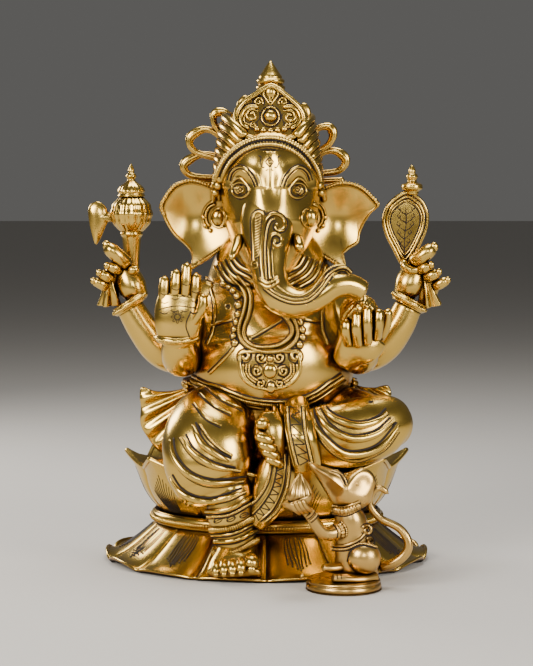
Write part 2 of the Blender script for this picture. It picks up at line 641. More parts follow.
# %% Feet
foot_top = mass([
    (-21.7, -76, 23.6, 14, 14), (-22.3, -83, 16, 16, 12.5), (-22.9, -92, 10.3, 19, 10),
    (-23.2, -99, 6.6, 20, 7.5)], rows=50, cols=100, front=(0, -1, 0.6))
TOES = [(-10.8, -104, 7.6, 5.9), (-18.4, -107, 5.6, 4.3), (-24.6, -107, 5, 4),
        (-30.6, -106, 4.3, 3.8), (-36.4, -104, 3.5, 3.5)]
right_foot = [foot_top]
for x, y, z, r in TOES:
    right_foot.append(limb([(x, y + 11, z + 10, r * 0.8), (x, y + 4, z + 8.5, r * 0.95),
                            (x, y - 0.5, z + 4.2, r * 1.03), (x, y - 1, z + 1.2, r * 0.88)]))
    right_foot.append(ball((x, y - r * 0.95, z + 3.0), (r * 0.5, r * 0.22, r * 0.5), 8, 12))
left_foot = [mass([(2.6, -76, 116.7, 9, 9), (3.3, -80, 108.4, 13, 10), (4.7, -82, 97.6, 12, 9),
                   (7.7, -80, 86.3, 8, 7)]),
             limb([(1.1, -84, 116.2, 4.8), (-4, -89, 113.2, 5.4), (-7.6, -91, 110.5, 4.9)])]
SOLE_TOES = [(-3.6, -91, 105, 3.9), (-1.4, -91, 99.2, 3.7), (1.1, -90, 93.6, 3.5),
             (3.6, -89, 88, 3.2)]
for x, y, z, r in SOLE_TOES:
    left_foot.append(limb([(x + 9, y + 1, z - 4.2, r), (x + 4, y - 2.2, z - 2.0, r * 1.05),
                           (x - 1.5, y - 3.0, z + 0.4, r), (x - 5, y - 2.0, z + 2.0, r * 0.85)]))

# %% Arms
ARMS = {
    "rear_right_arm": [(-38, 8, 200, 15, 15), (-50, 12, 184, 16, 16), (-60, 10, 167, 16, 16),
                       (-70, 6, 157, 15, 15), (-83, 3, 162, 13.5, 13.5), (-95, 1, 177, 12, 12),
                       (-104, 0, 192, 10.8, 10.5)],
    "rear_left_arm": [(44, 8, 200, 15, 15), (56, 12, 184, 16, 16), (66, 10, 168, 16, 16),
                      (76, 6, 158, 15, 15), (90, 3, 164, 13.5, 13.5), (101, 1, 178, 12, 12),
                      (108, 0, 192, 10.8, 10.5)],
    "front_right_arm": [(-40, -2, 202, 17, 17), (-53, -8, 184, 17, 17), (-60, -22, 166, 16, 16),
                        (-63, -36, 158, 15, 15), (-65, -48, 163, 13.5, 13.5),
                        (-66, -54, 174, 12, 11)],
    "front_left_arm": [(46, -2, 202, 17, 17), (60, -10, 184, 17, 17), (66, -24, 167, 16, 16),
                       (69, -38, 160, 15, 15), (70, -48, 163, 13, 13), (70, -54, 171, 11, 11)],
}
arms = {name: mass(rows, rows=70, cols=100, front=(0.3, -0.5, 0.8)) for name, rows in ARMS.items()}


# %% Head, trunk and tusks
def face_relief(way, angle, p):
    """Twin domes on the brow, a dip between them, hollows round the eyes, full cheeks."""
    front = np.clip(np.cos(angle), 0, 1) ** 0.5
    x, z = p[..., 0] - MID, p[..., 2]
    side = np.abs(x)
    domes = 2.8 * bump(np.hypot(side - 15, z - 300), 15)
    dip = -3.0 * bump(x, 5) * bump(z - 292, 20)
    sockets = -3.4 * bump(np.hypot(side - 22.5, (z - 285) * 0.95), 9.5)
    ridge = 1.6 * bump(np.hypot(side - 21, z - 284) - 14.5, 3.4) * (z > 284)
    cheeks = 2.6 * bump(np.hypot(side - 22, z - 256), 12)
    down = np.clip((302 - z) / 50, 0, 1)
    bridge = 8.5 * bump(x, 16) * down**2 * (3 - 2 * down)
    return (domes + dip + sockets + ridge + cheeks + bridge) * front


head = mass([
    (3, -22, 226, 19, 20), (3, -25, 238, 27, 29), (3, -22, 254, 33, 35), (3, -19, 272, 36.5, 38),
    (3, -16, 290, 38, 40), (3, -13, 304, 36, 38), (3, -6, 315, 28, 25)],
            rows=130, cols=180, relief=face_relief, ends=(1, 0.3))
TRUNK = [
    (1.9, -32, 293.1, 9, 8), (1.5, -41, 279.8, 14, 11), (0.4, -48.5, 267.3, 19, 12.6),
    (0.4, -54, 254.9, 19.6, 13.6), (0.7, -60, 244.1, 17.2, 13.9), (1.1, -66, 233.3, 14.6, 13.4),
    (1.8, -71, 223.3, 13, 12.6), (4, -75, 214, 12.6, 12.4), (9.8, -79, 205.5, 12.2, 12),
    (19.2, -82, 201.3, 11.4, 11.4), (29.3, -84, 202.2, 10, 10.6), (38.7, -84, 207.2, 10, 10.4),
    (47.4, -83, 213, 9.6, 10), (56.2, -81, 214.7, 9, 9.4), (63.5, -79, 212.8, 8.6, 9),
    (68.7, -78, 209.8, 8, 8)]
trunk = mass(TRUNK, rows=200, cols=110, ends=(0.2, 0.8))
tusks = {
    "right_tusk": tube([(-19.6, -52, 249), (-21.6, -62, 241.9), (-24.1, -70, 236.4),
                        (-26.2, -74, 232.2)],
                       [4.2, 3.9, 3.0, 1.4], 20),
    "left_tusk_broken": tube([(21.8, -52, 249), (23.5, -60, 243.3), (24.9, -66, 238.4)],
                             [4.2, 4.0, 3.6], 20),
}


# %% Ears: shallow bowls with a raised edge
def ear(outline, middle, side):
    """Bowl of a bell-shaped hollow about its middle, with the edge turned forward."""
    def depth(share, x, z):
        far = ((x - middle[0]) / 27) ** 2 + ((z - middle[1]) / 31) ** 2
        outer = np.clip(np.abs(x - MID) - 66, 0, 40)
        return 11.5 * np.exp(-1.35 * far) - 0.10 * outer * share**2

    def face(share, angle, x, z):
        rim = -1.5 * bump(share - 0.955, 0.028) + 2.6 * np.clip((share - 0.955) / 0.045, 0, 1) ** 2
        return -12.5 + depth(share, x, z) + rim

    def back(share, angle, x, z):
        return -8.6 + depth(share, x, z) - 2.2 * np.clip((share - 0.9) / 0.1, 0, 1) ** 2

    return shield(outline, middle, face, back, rings=46, count=260)


RIGHT_EAR = [(-33.9, 281), (-46.1, 287.8), (-58.3, 290.5), (-69.7, 287.1), (-76.6, 279.5),
             (-81.2, 270.7),
             (-79, 263.5), (-75.2, 255.1), (-69.9, 247.5), (-63, 241.4), (-57.7, 235.2),
             (-56.6, 228.4),
             (-57.4, 222.2), (-47.8, 227.6), (-35.5, 236), (-26.4, 242.9), (-26.3, 263.5)]
LEFT_EAR = [(37.7, 280.2), (49.9, 287.1), (61.4, 288.6), (72, 285.5), (80.4, 278.7), (85.8, 271.5),
            (79.7, 265), (74.4, 256.6), (71.4, 249), (69.9, 242.1), (63, 237.5), (57.7, 232.2),
            (58.9, 226.1), (60.8, 220), (50.1, 226.8), (36.3, 235.2), (28.6, 242.1), (28.6, 263.5)]
right_ear = ear(RIGHT_EAR, (-52.3, 261.2), -1)
left_ear = ear(LEFT_EAR, (54.6, 260.4), 1)


# %% Crown dome, under the turban rolls
crown = mass([
    (3, -6, 296, 35, 27), (3, -9, 306, 37, 31), (3, -9, 318, 36, 29), (3, -8, 330, 33, 24),
    (3, -8, 342, 24, 18), (3, -8, 350, 16, 14), (3, -8, 356, 12, 12)],
             rows=60, cols=140, ends=(0.2, 0.2))
finial = turned((3, -9, 344), [
    (0, 0), (11, 0), (11, 7), (9.4, 11), (9.2, 12.8), (10.9, 14.4), (11.0, 16.4), (9.3, 17.8),
    (10.4, 19.2), (10.6, 21.2), (8.9, 22.6), (8.6, 24.2), (6.6, 27), (4.4, 30.4), (2.3, 33.4),
    (0.9, 35.2), (0, 35.8)], rows=160)

# %% [markdown]
# ## Hands and what they hold
#
# A finger is a roll that thickens at its joints.  A rear hand is a fist seen from the back of
# its palm, with the folded cloth hanging out of it.


# %% Fingers and cloth
def finger(path, radius, nail=True):
    """Finger along a path, from the knuckle to the tip."""
    line = spline(path, 12)
    t = np.linspace(0, 1, 12)
    size = radius * (1.0 - 0.12 * t + 0.03 * np.cos(t * 12.5))
    shapes = [tube(spline(line, 40), np.interp(np.linspace(0, 1, 40), t, size), 20)]
    if nail:
        tip = line[-2] + (line[-1] - line[-2]) * 0.2
        shapes.append(ball(tip + [0, -radius * 0.62, 0], radius * np.array([0.5, 0.35, 0.62]), 8, 12))
    return shapes


def pleated(top, bottom, width_top, width_bottom, depth, pleats, y_top, y_bottom):
    """Hanging cloth: a flat roll that widens downwards, its face waved into pleats."""
    top, bottom = np.asarray(top, float), np.asarray(bottom, float)
    half_way = 0.5 * (top + bottom)
    rows = [(top[0], y_top, top[1], width_top, depth * 0.6),
            (half_way[0], (y_top + y_bottom) / 2, half_way[1],
             0.62 * width_top + 0.42 * width_bottom, depth),
            (bottom[0], y_bottom, bottom[1], width_bottom, depth)]

    def pleat(way, angle, p):
        return 1.3 * np.sin(angle * pleats) * np.clip(np.cos(angle), 0, 1) ** 0.3 * (0.4 + way)

    return mass(rows, rows=40, cols=160, relief=pleat, ends=(0.3, 0.3))


right_fist = [
    mass([(-97.9, 4, 200.6, 8, 8), (-102.4, 4, 207.5, 11, 10), (-106.4, 6, 215.8, 10.5, 10),
          (-109.5, 8, 223.4, 8, 9)]),
    *finger([(-105.3, 2, 224.5), (-111.6, -5, 230.9), (-119, -7, 237.8), (-122.2, -5, 241.5)], 6.0),
    *finger([(-111.3, 0, 220.7), (-116.2, -5, 223.2), (-122.2, -7, 225.6)], 4.8),
    *finger([(-117.4, 0, 213.1), (-122.4, -5, 217.1), (-128.3, -7, 220.3)], 4.6),
    *finger([(-121.3, 0, 206.9), (-126.3, -4, 211), (-133.1, -5, 214.1)], 4.2),
    tube([(-106.5, -3, 220.9), (-101.1, -4, 221.7), (-96.6, -2, 223.1)], [3.4, 3.6, 3.2], 14),
    mass([(-117.7, 4, 219.8, 6, 7), (-121, 6, 209.7, 6.5, 7), (-118.9, 8, 200.3, 6, 6)]),
    pleated((-120.5, 213.8), (-120.2, 194.7), 3, 9, 5.5, 5, 1, 4),
]
left_fist = [
    mass([(104.8, 4, 201.3, 8, 8), (109.3, 4, 209.8, 11, 10), (112.5, 6, 217.4, 10.5, 10),
          (114.9, 8, 224.2, 8, 9)]),
    *finger([(110.6, 2, 227.5), (117, -5, 230.9), (124.4, -7, 237), (128.3, -5, 240)], 6.0),
    *finger([(115.1, 0, 221.5), (120, -5, 223.2), (126, -7, 226.4)], 4.8),
    *finger([(120.5, 0, 215.4), (125.4, -5, 217.1), (132.1, -7, 221)], 4.6),
    *finger([(128.2, 0, 208.5), (132.4, -4, 211), (139.2, -5, 214.8)], 4.2),
    tube([(105.1, 0, 229.9), (104.9, -3, 224.7), (109.5, -4, 221.7),
          (117.2, -3, 221.6)], [2.8, 3.2, 3.4, 3.0], 14),
    mass([(123.8, 4, 219.8, 6, 7), (126.4, 6, 209.7, 6.5, 7), (124.3, 8, 200.3, 6, 6)]),
    pleated((121.3, 215.4), (125.2, 193.9), 3, 9.5, 5.5, 6, 1, 4),
]

# %% Open palm
right_palm = [mass([
    (-66.8, -57, 170.2, 11, 8), (-66, -59, 176.2, 15, 8), (-65.2, -60, 185.9, 17.3, 8.5),
    (-64.4, -60, 196.3, 17.3, 8), (-63.6, -60, 204.4, 16, 6)])]
FINGERS = [
    [(-75.4, -60, 199.2), (-75.3, -61, 210.3), (-74.6, -60, 220.6)], [(-67.8, -60, 200.7),
        (-66.9, -62, 213.3), (-66.1, -60, 225.3)],
    [(-60.3, -60, 200.7), (-59.1, -62, 216.3), (-58.3, -60, 230.3)],
    [(-53.1, -60, 199.2), (-52.2, -61, 211.1), (-51.5, -60, 222.8)]]
for path in FINGERS:
    right_palm += finger(path, 4.3, nail=False)
right_palm += finger([(-56.3, -61, 183), (-49.5, -65, 192.2), (-46.5, -66, 201.1),
                      (-48, -65, 207.6)], 4.1, nail=False)

# %% Bangles
def bangle(middle, around, half_side, half_front, wire, front=(0, -1, 0)):
    """Milled ring round a limb: a round roll with beads along its outer face."""
    along = unit(np.asarray(around, float))
    ahead = unit(np.cross(np.cross(along, np.asarray(front, float)), along))
    side = np.cross(along, ahead)
    turn = np.linspace(0, 2 * math.pi, 240, endpoint=False)[:, None]

    def ring(extra, shift):
        return (np.asarray(middle, float) + along * shift + side * np.sin(turn) * (half_side + extra)
                + ahead * np.cos(turn) * (half_front + extra))

    return [tube(ring(0, 0), wire, sides=16, closed=True, front=along),
            tube(ring(wire * 0.72, 0), wire * 0.42, closed=True, mill=0.28, pitch=1.9, front=along),
            tube(ring(wire * 0.2, wire * 0.9), wire * 0.26, closed=True, front=along),
            tube(ring(wire * 0.2, -wire * 0.9), wire * 0.26, closed=True, front=along)]


BANGLES = {
    "rear_right_bangle": bangle((-104.9, 0, 195.4), (-0.53, 0, 0.85), 12.0, 11.5, 2.8),
    "rear_left_bangle": bangle((109.1, 0, 197), (0.47, 0, 0.88), 12.0, 11.5, 2.8),
    "front_right_bangle": bangle((-66.5, -56, 174.5), (0.0, -0.2, 1), 14.0, 11.5, 2.5),
}

# %% Goad: fluted finial, lattice bulb, shaft and hooked blade
def lattice(angle, height):
    """Crossed raised threads, on the bulb only."""
    on = np.clip(1 - ((height - 0.0) / 15.0) ** 2, 0, 1) ** 0.5
    weave = np.cos(9 * angle + height * 0.42) * np.cos(9 * angle - height * 0.42)
    return 0.7 * on * weave


GOAD_AXIS = (-103.7, 10, 264.4)
goad = [
    turned(GOAD_AXIS, [(0.1, -15.8), (6, -15), (11.5, -11), (15.2, -4.5), (15.8, 1), (14.4, 6.5),
                       (10.5, 11.6), (7, 14)], rows=90, cols=216, relief=lattice),
    turned(GOAD_AXIS, [(0.1, 13), (9.6, 13), (10.4, 14.2), (9.6, 15.4), (9.8, 16.2), (10.2, 17.5),
                       (8.2, 21), (4.6, 24), (3.2, 25.4), (3.0, 26.6), (4.1, 28.4), (3.4, 30.2),
                       (2.3, 31.2), (2.4, 33), (1.6, 35.6), (0.5, 37.8), (0.1, 38)],
           rows=150, cols=96, relief=lambda a, h: 0.35 * np.cos(14 * a) * bump(h - 19, 3)),
    turned(GOAD_AXIS, [(0.1, -13), (7.6, -13.4), (8.6, -14.6), (8.8, -16), (8.0, -17.2),
                       (7.4, -18.5), (6.8, -24), (6.2, -32), (6.0, -42), (5.8, -55),
                       (0.1, -56)], rows=120, cols=72),
]
BLADE = [(-115.6, 262.7), (-120.9, 265), (-124, 270.3), (-129.3, 273.8), (-134.6, 271.9),
         (-137, 267.3), (-136.3, 258.1),
         (-134, 247.5), (-131.4, 240.6), (-127.9, 244.4), (-124.1, 252.8), (-121, 258.1),
         (-115.7, 257.4)]
blade = [shield(BLADE, (-129.4, 261.2),
                lambda share, angle, x, z: 10 - 3.2 * (1 - share**2.2) ** 0.7,
                lambda share, angle, x, z: 10 + 3.2 * (1 - share**2.2) ** 0.7, rings=30, count=160)]

# %% Paddle
PADDLE = [(107.7, 282.1), (98.8, 277.9), (91.2, 269.6), (88.5, 258.9), (91.3, 247.5), (96.7, 236.8),
          (102.8, 225.3), (106.7, 223), (112.7, 230.7), (118, 241.4), (122.5, 252.8),
          (123.6, 264.2), (120.1, 273.4), (114.8, 278.7)]
LEAF_MIDDLE = (105.7, 258.1)
paddle = [shield(PADDLE, LEAF_MIDDLE,
                 lambda share, angle, x, z: 10 - 3.6 * (1 - share**8) ** 0.5 + 0.8 * share**2,
                 lambda share, angle, x, z: 10 + 3.6 * (1 - share**6) ** 0.5, rings=40, count=240)]
PADDLE_TOP = (111.6, 10, 285)
paddle_finial = [turned(PADDLE_TOP, [
    (0.1, -6), (4.6, -6), (5.4, -3.5), (7.8, -2), (8.2, 0), (7.6, 1.8), (4.8, 3), (3.6, 4.4),
        (3.9, 6),
    (4.6, 7.6), (3.9, 9.4), (2.6, 10.4), (2.8, 12), (2.0, 14.4), (0.6, 16.4), (0.1, 16.6)],
                        rows=110, cols=64)]

# %% Hand with the sweet
SWEET = (68, -62, 192.7)


def sugared(up, turn):
    """Grains in rows: a product of cosines round and up the ball, fading at its poles."""
    return 0.45 * np.cos(17 * turn) * np.cos(15 * up) * np.sin(up)


sweet = [ball(SWEET, (14.2, 13.5, 14.2), 90, 130, relief=sugared)]
sweet_hand = [
    mass([(58.2, -52, 157.1, 10, 9), (62.5, -55, 163.3, 14, 10), (67.5, -58, 169.5, 18, 10),
          (71.9, -58, 176.9, 18, 8)])]
GRIP = [[(60.6, -66, 168.7), (58, -75, 179.7), (58, -74, 189.9)],
        [(67.1, -67, 168), (65.5, -77, 181.3), (65.6, -75, 195.8)],
        [(73.8, -66, 169.4), (73.2, -76, 184.2), (73.4, -74, 199.7)],
        [(80.6, -62, 172.8), (81.8, -72, 185.3), (82.4, -71, 197)]]
for path in GRIP:
    sweet_hand += finger(path, 4.1, nail=False)
sweet_hand += finger([(82.5, -54, 172.1), (88.1, -58, 183.6), (89.4, -60, 196.3)], 4.2, nail=False)

# %% Halo loops and scarf ends
def loop(line, radius, y):
    """Open loop of flat cord, heavier at its outer end."""
    path = spline(line, 80)
    path = np.stack([path[:, 0], np.full(80, y), path[:, 1]], axis=1)
    heavy = radius * (0.86 + 0.50 * bump(np.linspace(-1, 1, 80), 0.30))
    bead = tube(path + [0, -radius * 0.62, 0], heavy * 0.42, 8)
    return [tube(path, heavy, 16, flat=0.6), bead]


halo_right = (loop([(-20.2, 326.5), (-26.2, 337.1), (-33.1, 341.6), (-39.9, 339.4), (-38.4, 330.3),
                    (-27.8, 318.9)], 2.7, -2)
              + loop([(-30.8, 319.7), (-42.2, 327.7), (-51.3, 327.3), (-58.6, 320.8),
                      (-53.7, 311.4), (-33.9, 305.3)], 2.8, 0)
              + loop([(-33.9, 306.8), (-46.1, 309.5), (-56, 307.2), (-63.2, 300.7), (-56.8, 293.1),
                      (-35.4, 291.2)], 2.9, 2)
              + [tube([(-23.3, 4, 287.1), (-44.7, 5, 287.8), (-58.5, 6, 289)], 2.6, 14)])
halo_left = (loop([(31.6, 320.5), (38.4, 328.8), (47.5, 330.3), (50.6, 324.2), (46, 315.9),
                   (33.1, 309.8)], 2.8, 0)
             + loop([(36.2, 306.8), (46.1, 312.1), (55.2, 311), (60.5, 304.5), (54.5, 296.9),
                     (37.7, 294.7)], 2.9, 2)
             + [tube([(27.1, 4, 288.6), (45.5, 5, 289.3), (60.1, 6, 290.1)], 2.6, 14)])


def scarf(outline, middle, y, fan, folds):
    """Flat scarf end whose face is waved into pleats that spread from the point of the fan."""
    def pleats(x, z):
        angle = np.arctan2(z - fan[1], x - fan[0])
        far = np.hypot(x - fan[0], z - fan[1])
        return 1.3 * np.cos(folds * angle) * np.clip(far / 40, 0.2, 1)

    def side_of(sign):
        """Face or back: half the cloth's thickness from y, thinning out at the edge."""
        return lambda share, angle, x, z: (y + sign * 2.6 * (1 - share**6) ** 0.5
                                           + pleats(x, z) * (1 - share**8))

    return shield(outline, middle, side_of(-1), side_of(1), rings=44, count=240)


SCARF_RIGHT = [(-40.3, 143.1), (-53.4, 134.6), (-69.5, 129.2), (-84.9, 128.5), (-95.6, 131.5),
               (-97.5, 123.8),
               (-96.5, 116.1), (-96.9, 102.9), (-91.2, 92.1), (-81.3, 81.2), (-68.1, 85.9),
               (-55.8, 106), (-38.8, 124.6)]
SCARF_LEFT = [(53.3, 147.8), (61.1, 138.5), (71.1, 132.6), (82.6, 131.2), (93.3, 132.8),
              (95.7, 123.8), (87.2, 120.7), (71.9, 122.3), (60.3, 126.1), (51.9, 133.1)]
scarf_right = [scarf(SCARF_RIGHT, (-72.7, 115.3), 0.0, (-34.2, 140), 34)]
scarf_left = [scarf(SCARF_LEFT, (74.9, 126.9), 0.0, (41.1, 152.4), 60)]

# %% [markdown]
# ## The mouse
#
# It sits up on a round plate of its own, on its haunches, and holds out a bowl.

# %% Mouse forms
MOUSE_AT = (55.0, -121.5)
plate = [turned((MOUSE_AT[0], MOUSE_AT[1], 0), [
    (0.1, 0.1), (25, 0.1), (26.4, 0.6), (27, 2), (26.6, 4), (25.8, 5.2), (26.2, 6.2), (25.4, 7.3),
    (23, 7.5), (0.1, 7.5)], rows=120, cols=160),
         tube([(26.6, -128, 9.5), (23.8, -128, 10.9)], [3.2, 2.4], 14)]
mouse_body = [
    mass([(63.9, -118, 9.6, 16, 14), (63.9, -119, 18.5, 16, 15), (62.3, -120, 28.8, 13.6, 13.5),
          (60.8, -121, 40.5, 12, 11.5), (59.3, -122, 49.3, 11.4, 11), (57.2, -122, 56.5, 9, 9.4)]),
    ball((68.7, -130, 23.5), (12.2, 10.5, 11.8), 44, 56),
    mass([(76.4, -126, 9.1, 5, 4), (66.1, -132, 8.9, 6, 4), (55.4, -136, 9.7, 5.4, 3.6),
          (47.5, -138, 10.4, 4.4, 3)],
         front=(0, 0, 1)),
    mass([(56.5, -124, 16.6, 5, 4), (47.8, -130, 16.3, 4.4, 3.6),
          (40.6, -133, 16.9, 3.4, 2.8)], front=(0, 0, 1))]
HEAD = [(29.7, 91), (36.4, 88.9), (44.9, 86.4), (51.2, 84.9),
        (55.7, 81.3), (60.4, 84.3), (67.5, 86.7), (73.8, 84.2),
        (77.4, 78.2), (76, 69.6), (72.2, 60.3), (60.5, 56),
        (47.5, 60.3), (42.1, 68.9), (36.4, 78.2), (31.4, 86)]
HEAD_MIDDLE = (56.1, 72.8)


def head_face(share, angle, x, z):
    """Crowned face with a ridge down its middle and a hollow on each side."""
    middle_x, middle_z = HEAD_MIDDLE
    ridge = bump((x - middle_x + 0.25 * (z - middle_z)), 5.5) * np.clip(1 - share, 0, 1)
    hollow = bump(np.hypot(x - middle_x + 13, z - middle_z - 5), 9) + bump(
        np.hypot(x - middle_x - 13, z - middle_z - 5), 8)
    return -122 - 11 * np.sqrt(np.clip(1 - share**2, 0, 1)) - 2.0 * ridge + 4.2 * hollow


mouse_head = [shield(HEAD, HEAD_MIDDLE, head_face,
                     lambda share, angle, x, z: -122 + 9 * np.sqrt(np.clip(1 - share**2.4, 0, 1)),
                     rings=60, count=220)]
mouse_arm = [limb([(56.5, -122, 49.3, 6.4), (49.2, -129, 41.9, 5.8), (40.5, -135, 42.3, 4.8),
                   (34.1, -139, 50.1, 4.2), (29.8, -141, 57.5, 4.2), (25.6, -142, 61.2, 4.6)], 26)]
FINGER = limb([(23.8, -147, 57.8, 1.5), (19.5, -154, 62.5, 1.7), (16.7, -156, 67.5, 1.5)], 14)
for k in range(4):
    mouse_arm.append((FINGER[0] + [2.7 * k, 0.4 * k, 0.5 * k], FINGER[1]))
BOWL_AT = (24.9, -142, 59.8)


def tipped(shape, degrees):
    """The shape leaned about the line through the bowl's foot that runs front to back."""
    points, faces = shape
    c, s = math.cos(math.radians(degrees)), math.sin(math.radians(degrees))
    p = points - np.array(BOWL_AT)
    p = np.stack([p[:, 0] * c - p[:, 2] * s, p[:, 1], p[:, 0] * s + p[:, 2] * c], axis=1)
    return p + np.array(BOWL_AT), faces


bowl = [tipped(turned(BOWL_AT, [
    (0, 0), (4.6, 0.4), (8, 2.4), (10.8, 5.8), (11.8, 8.6), (11.4, 9.4), (10.4, 9.0), (0, 8.6)],
                      rows=90), 20),
        turned((23.5, -142, 64.8), [(0, 0), (7.8, 1), (9.0, 4), (8.4, 8.4), (6.2, 13), (3.2, 17),
                                    (1.3, 19.4), (0.4, 20.8), (0, 21)], rows=90, cols=200,
               relief=lambda a, h: 0.85 * np.abs(np.sin(6 * a)) * np.clip(h / 5, 0, 1) - 0.4)]
tail = [limb([(79.7, -116, 13.6, 3.9), (90.9, -120, 18, 3.5), (99.3, -122, 25.6, 3.3),
              (100.7, -122, 34.2, 3.1),
              (94.3, -120, 43.2, 3), (80.9, -118, 50, 2.8), (73.7, -118, 59.4, 2.6),
              (75.1, -118, 68, 2.4), (80.8, -118, 71.6, 2.2), (87.2, -118, 67.3, 1.8)], 22)]


# %% [markdown]
# ## Chasing
#
# Rolls, beads and cuts laid on the masses.  A milled roll is a fine cord; a cut is a thin dark
# roll that is sunk to its middle, which reads as an engraved line filled with stain.


# %% Small helpers for ornament
def cut(line, ground, width=0.42, **more):
    """Engraved line filled with stain."""
    return roll(line, ground, width, lift=more.pop("lift", 0.02), sides=6, **more)


def cord(line, ground, radius=1.0, **more):
    """Fine milled cord."""
    return roll(line, ground, radius, mill=0.26, pitch=1.5, sides=8, **more)


def taper(line, ground, radius, **more):
    """Roll that thins out towards both ends."""
    return roll(line, ground, radius * np.array([0.25, 0.8, 1, 1, 0.8, 0.25]), **more)


def offset(line, by):
    """The same line moved sideways on the plane; plus is to its left."""
    p = spline(line, 40)
    d = np.gradient(p, axis=0)
    d = d / np.linalg.norm(d, axis=1, keepdims=True)
    return p + by * np.stack([-d[:, 1], d[:, 0]], axis=1)


def oval_line(centre, half_x, half_z, tilt=0.0, count=30):
    """Closed oval on the plane."""
    t = np.linspace(0, 2 * math.pi, count, endpoint=False)
    x, z = half_x * np.cos(t), half_z * np.sin(t)
    c, s = math.cos(math.radians(tilt)), math.sin(math.radians(tilt))
    return np.stack([centre[0] + x * c - z * s, centre[1] + x * s + z * c], axis=1)


def zigzag(left, right, count):
    """Line that goes back and forth between two smooth lines."""
    a, b = spline(left, 2 * count + 1), spline(right, 2 * count + 1)
    rows = np.arange(2 * count + 1) % 2
    return np.where(rows[:, None] == 0, a, b)


# %% Grounds
face_ground = tree([head, trunk])
body_ground = tree([torso, collar, hips])
thigh_ground = tree([right_knee, right_calf])
seat_ground = tree([left_thigh, left_shin])
lap_ground = tree([lap])
sash_ground = tree([sash])
palm_ground = tree(right_palm)
mouse_ground = tree(mouse_body + mouse_head + mouse_arm)

# %% Eyes and brows
RIGHT_EYE, LEFT_EYE = (-19.8, 282.9), (23.6, 282.5)
face_work, face_cuts = [], []
for (ex, ez), hand in ((RIGHT_EYE, 1), (LEFT_EYE, -1)):
    lids = oval_line((ex, ez - 0.2), 6.5, 5.7, -8 * hand)
    face_work.append(roll(lids, face_ground, 1.1, closed=True))
    face_cuts.append(cut(oval_line((ex, ez - 0.2), 5.2, 4.4, -8 * hand), face_ground, 0.6, closed=True))
    centre = lay([(ex, ez), (ex + 0.2, ez)], face_ground, 0.3, smooth=False)[0]
    eyeball = ball(centre + [0, 1.1, 0], (4.9, 2.5, 4.1), 20, 28)
    eye_ground = tree([eyeball])
    face_work += [eyeball, roll(oval_line((ex, ez), 2.2, 2.2), eye_ground, 0.5, closed=True),
                  ball(centre - [0, 1.5, 0], (0.9, 0.7, 0.9), 12, 16)]
    face_cuts.append(cut(oval_line((ex, ez), 1.5, 1.5), eye_ground, 0.36, closed=True))
    face_cuts.append(cut(oval_line((ex, ez), 3.0, 3.0), eye_ground, 0.36, closed=True))
    lid = [(ex - hand * 8.6, ez + 1.8), (ex - hand * 1.0, ez + 9.2), (ex + hand * 8.2, ez - 0.5)]
    face_work.append(taper(lid, face_ground, 1.5, lift=0.1))
    corner = [(ex - hand * 6.6, ez + 0.6), (ex - hand * 8.4, ez + 0.2), (ex - hand * 9.6, ez - 1.2)]
    face_cuts.append(cut(corner, face_ground, 0.4))
    face_cuts.append(cut([(ex - hand * 7.6, ez + 3.6), (ex, ez + 7.9), (ex + hand * 7.8, ez + 2.4)],
                         face_ground, 0.5))
    face_cuts.append(cut([(ex - hand * 7.2, ez - 4.0), (ex, ez - 7.6), (ex + hand * 6.8, ez - 3.6)],
                         face_ground, 0.4))
RIGHT_BROW = [(-28.6, 289.4), (-26.4, 296.2), (-20.8, 300), (-15.2, 298.2), (-10.3, 291.6),
              (-7.6, 284.8)]
LEFT_BROW = [(11.8, 284), (14.9, 292.4), (20.6, 298.6), (26.1, 300), (31.2, 296.2), (33.9, 289.4)]
for brow, inward in ((RIGHT_BROW, -1), (LEFT_BROW, -1)):
    face_work.append(taper(brow, face_ground, 1.05))
    face_work.append(taper(offset(brow, 2.1 * inward), face_ground, 0.75))
    face_cuts.append(cut(offset(brow, 1.1 * inward), face_ground, 0.55))
    face_cuts.append(cut(offset(brow, -1.45 * inward), face_ground, 0.5))

# %% Mark on the brow: a lozenge between curls
MARK = (2.3, 303.8)
mx, mz = MARK
for size_, radius in ((1.0, 0.5), (0.45, 0.3)):
    face_cuts.append(cut([(mx, mz + 3.6 * size_), (mx + 3.2 * size_, mz), (mx, mz - 3.6 * size_),
                          (mx - 3.2 * size_, mz)], face_ground, radius, smooth=False, closed=True))
for hand in (-1, 1):
    face_cuts.append(cut([(mx + hand * 8.6, mz + 4.8), (mx + hand * 6.4, mz + 3.6),
                          (mx + hand * 7.0, mz - 0.8), (mx + hand * 5.2, mz - 4.4),
                          (mx + hand * 3.6, mz - 3.6)], face_ground, 0.42))
    face_cuts.append(cut([(mx + hand * 0.8, mz - 5.6),
                          (mx + hand * 3.0, mz - 6.6)], face_ground, 0.36))

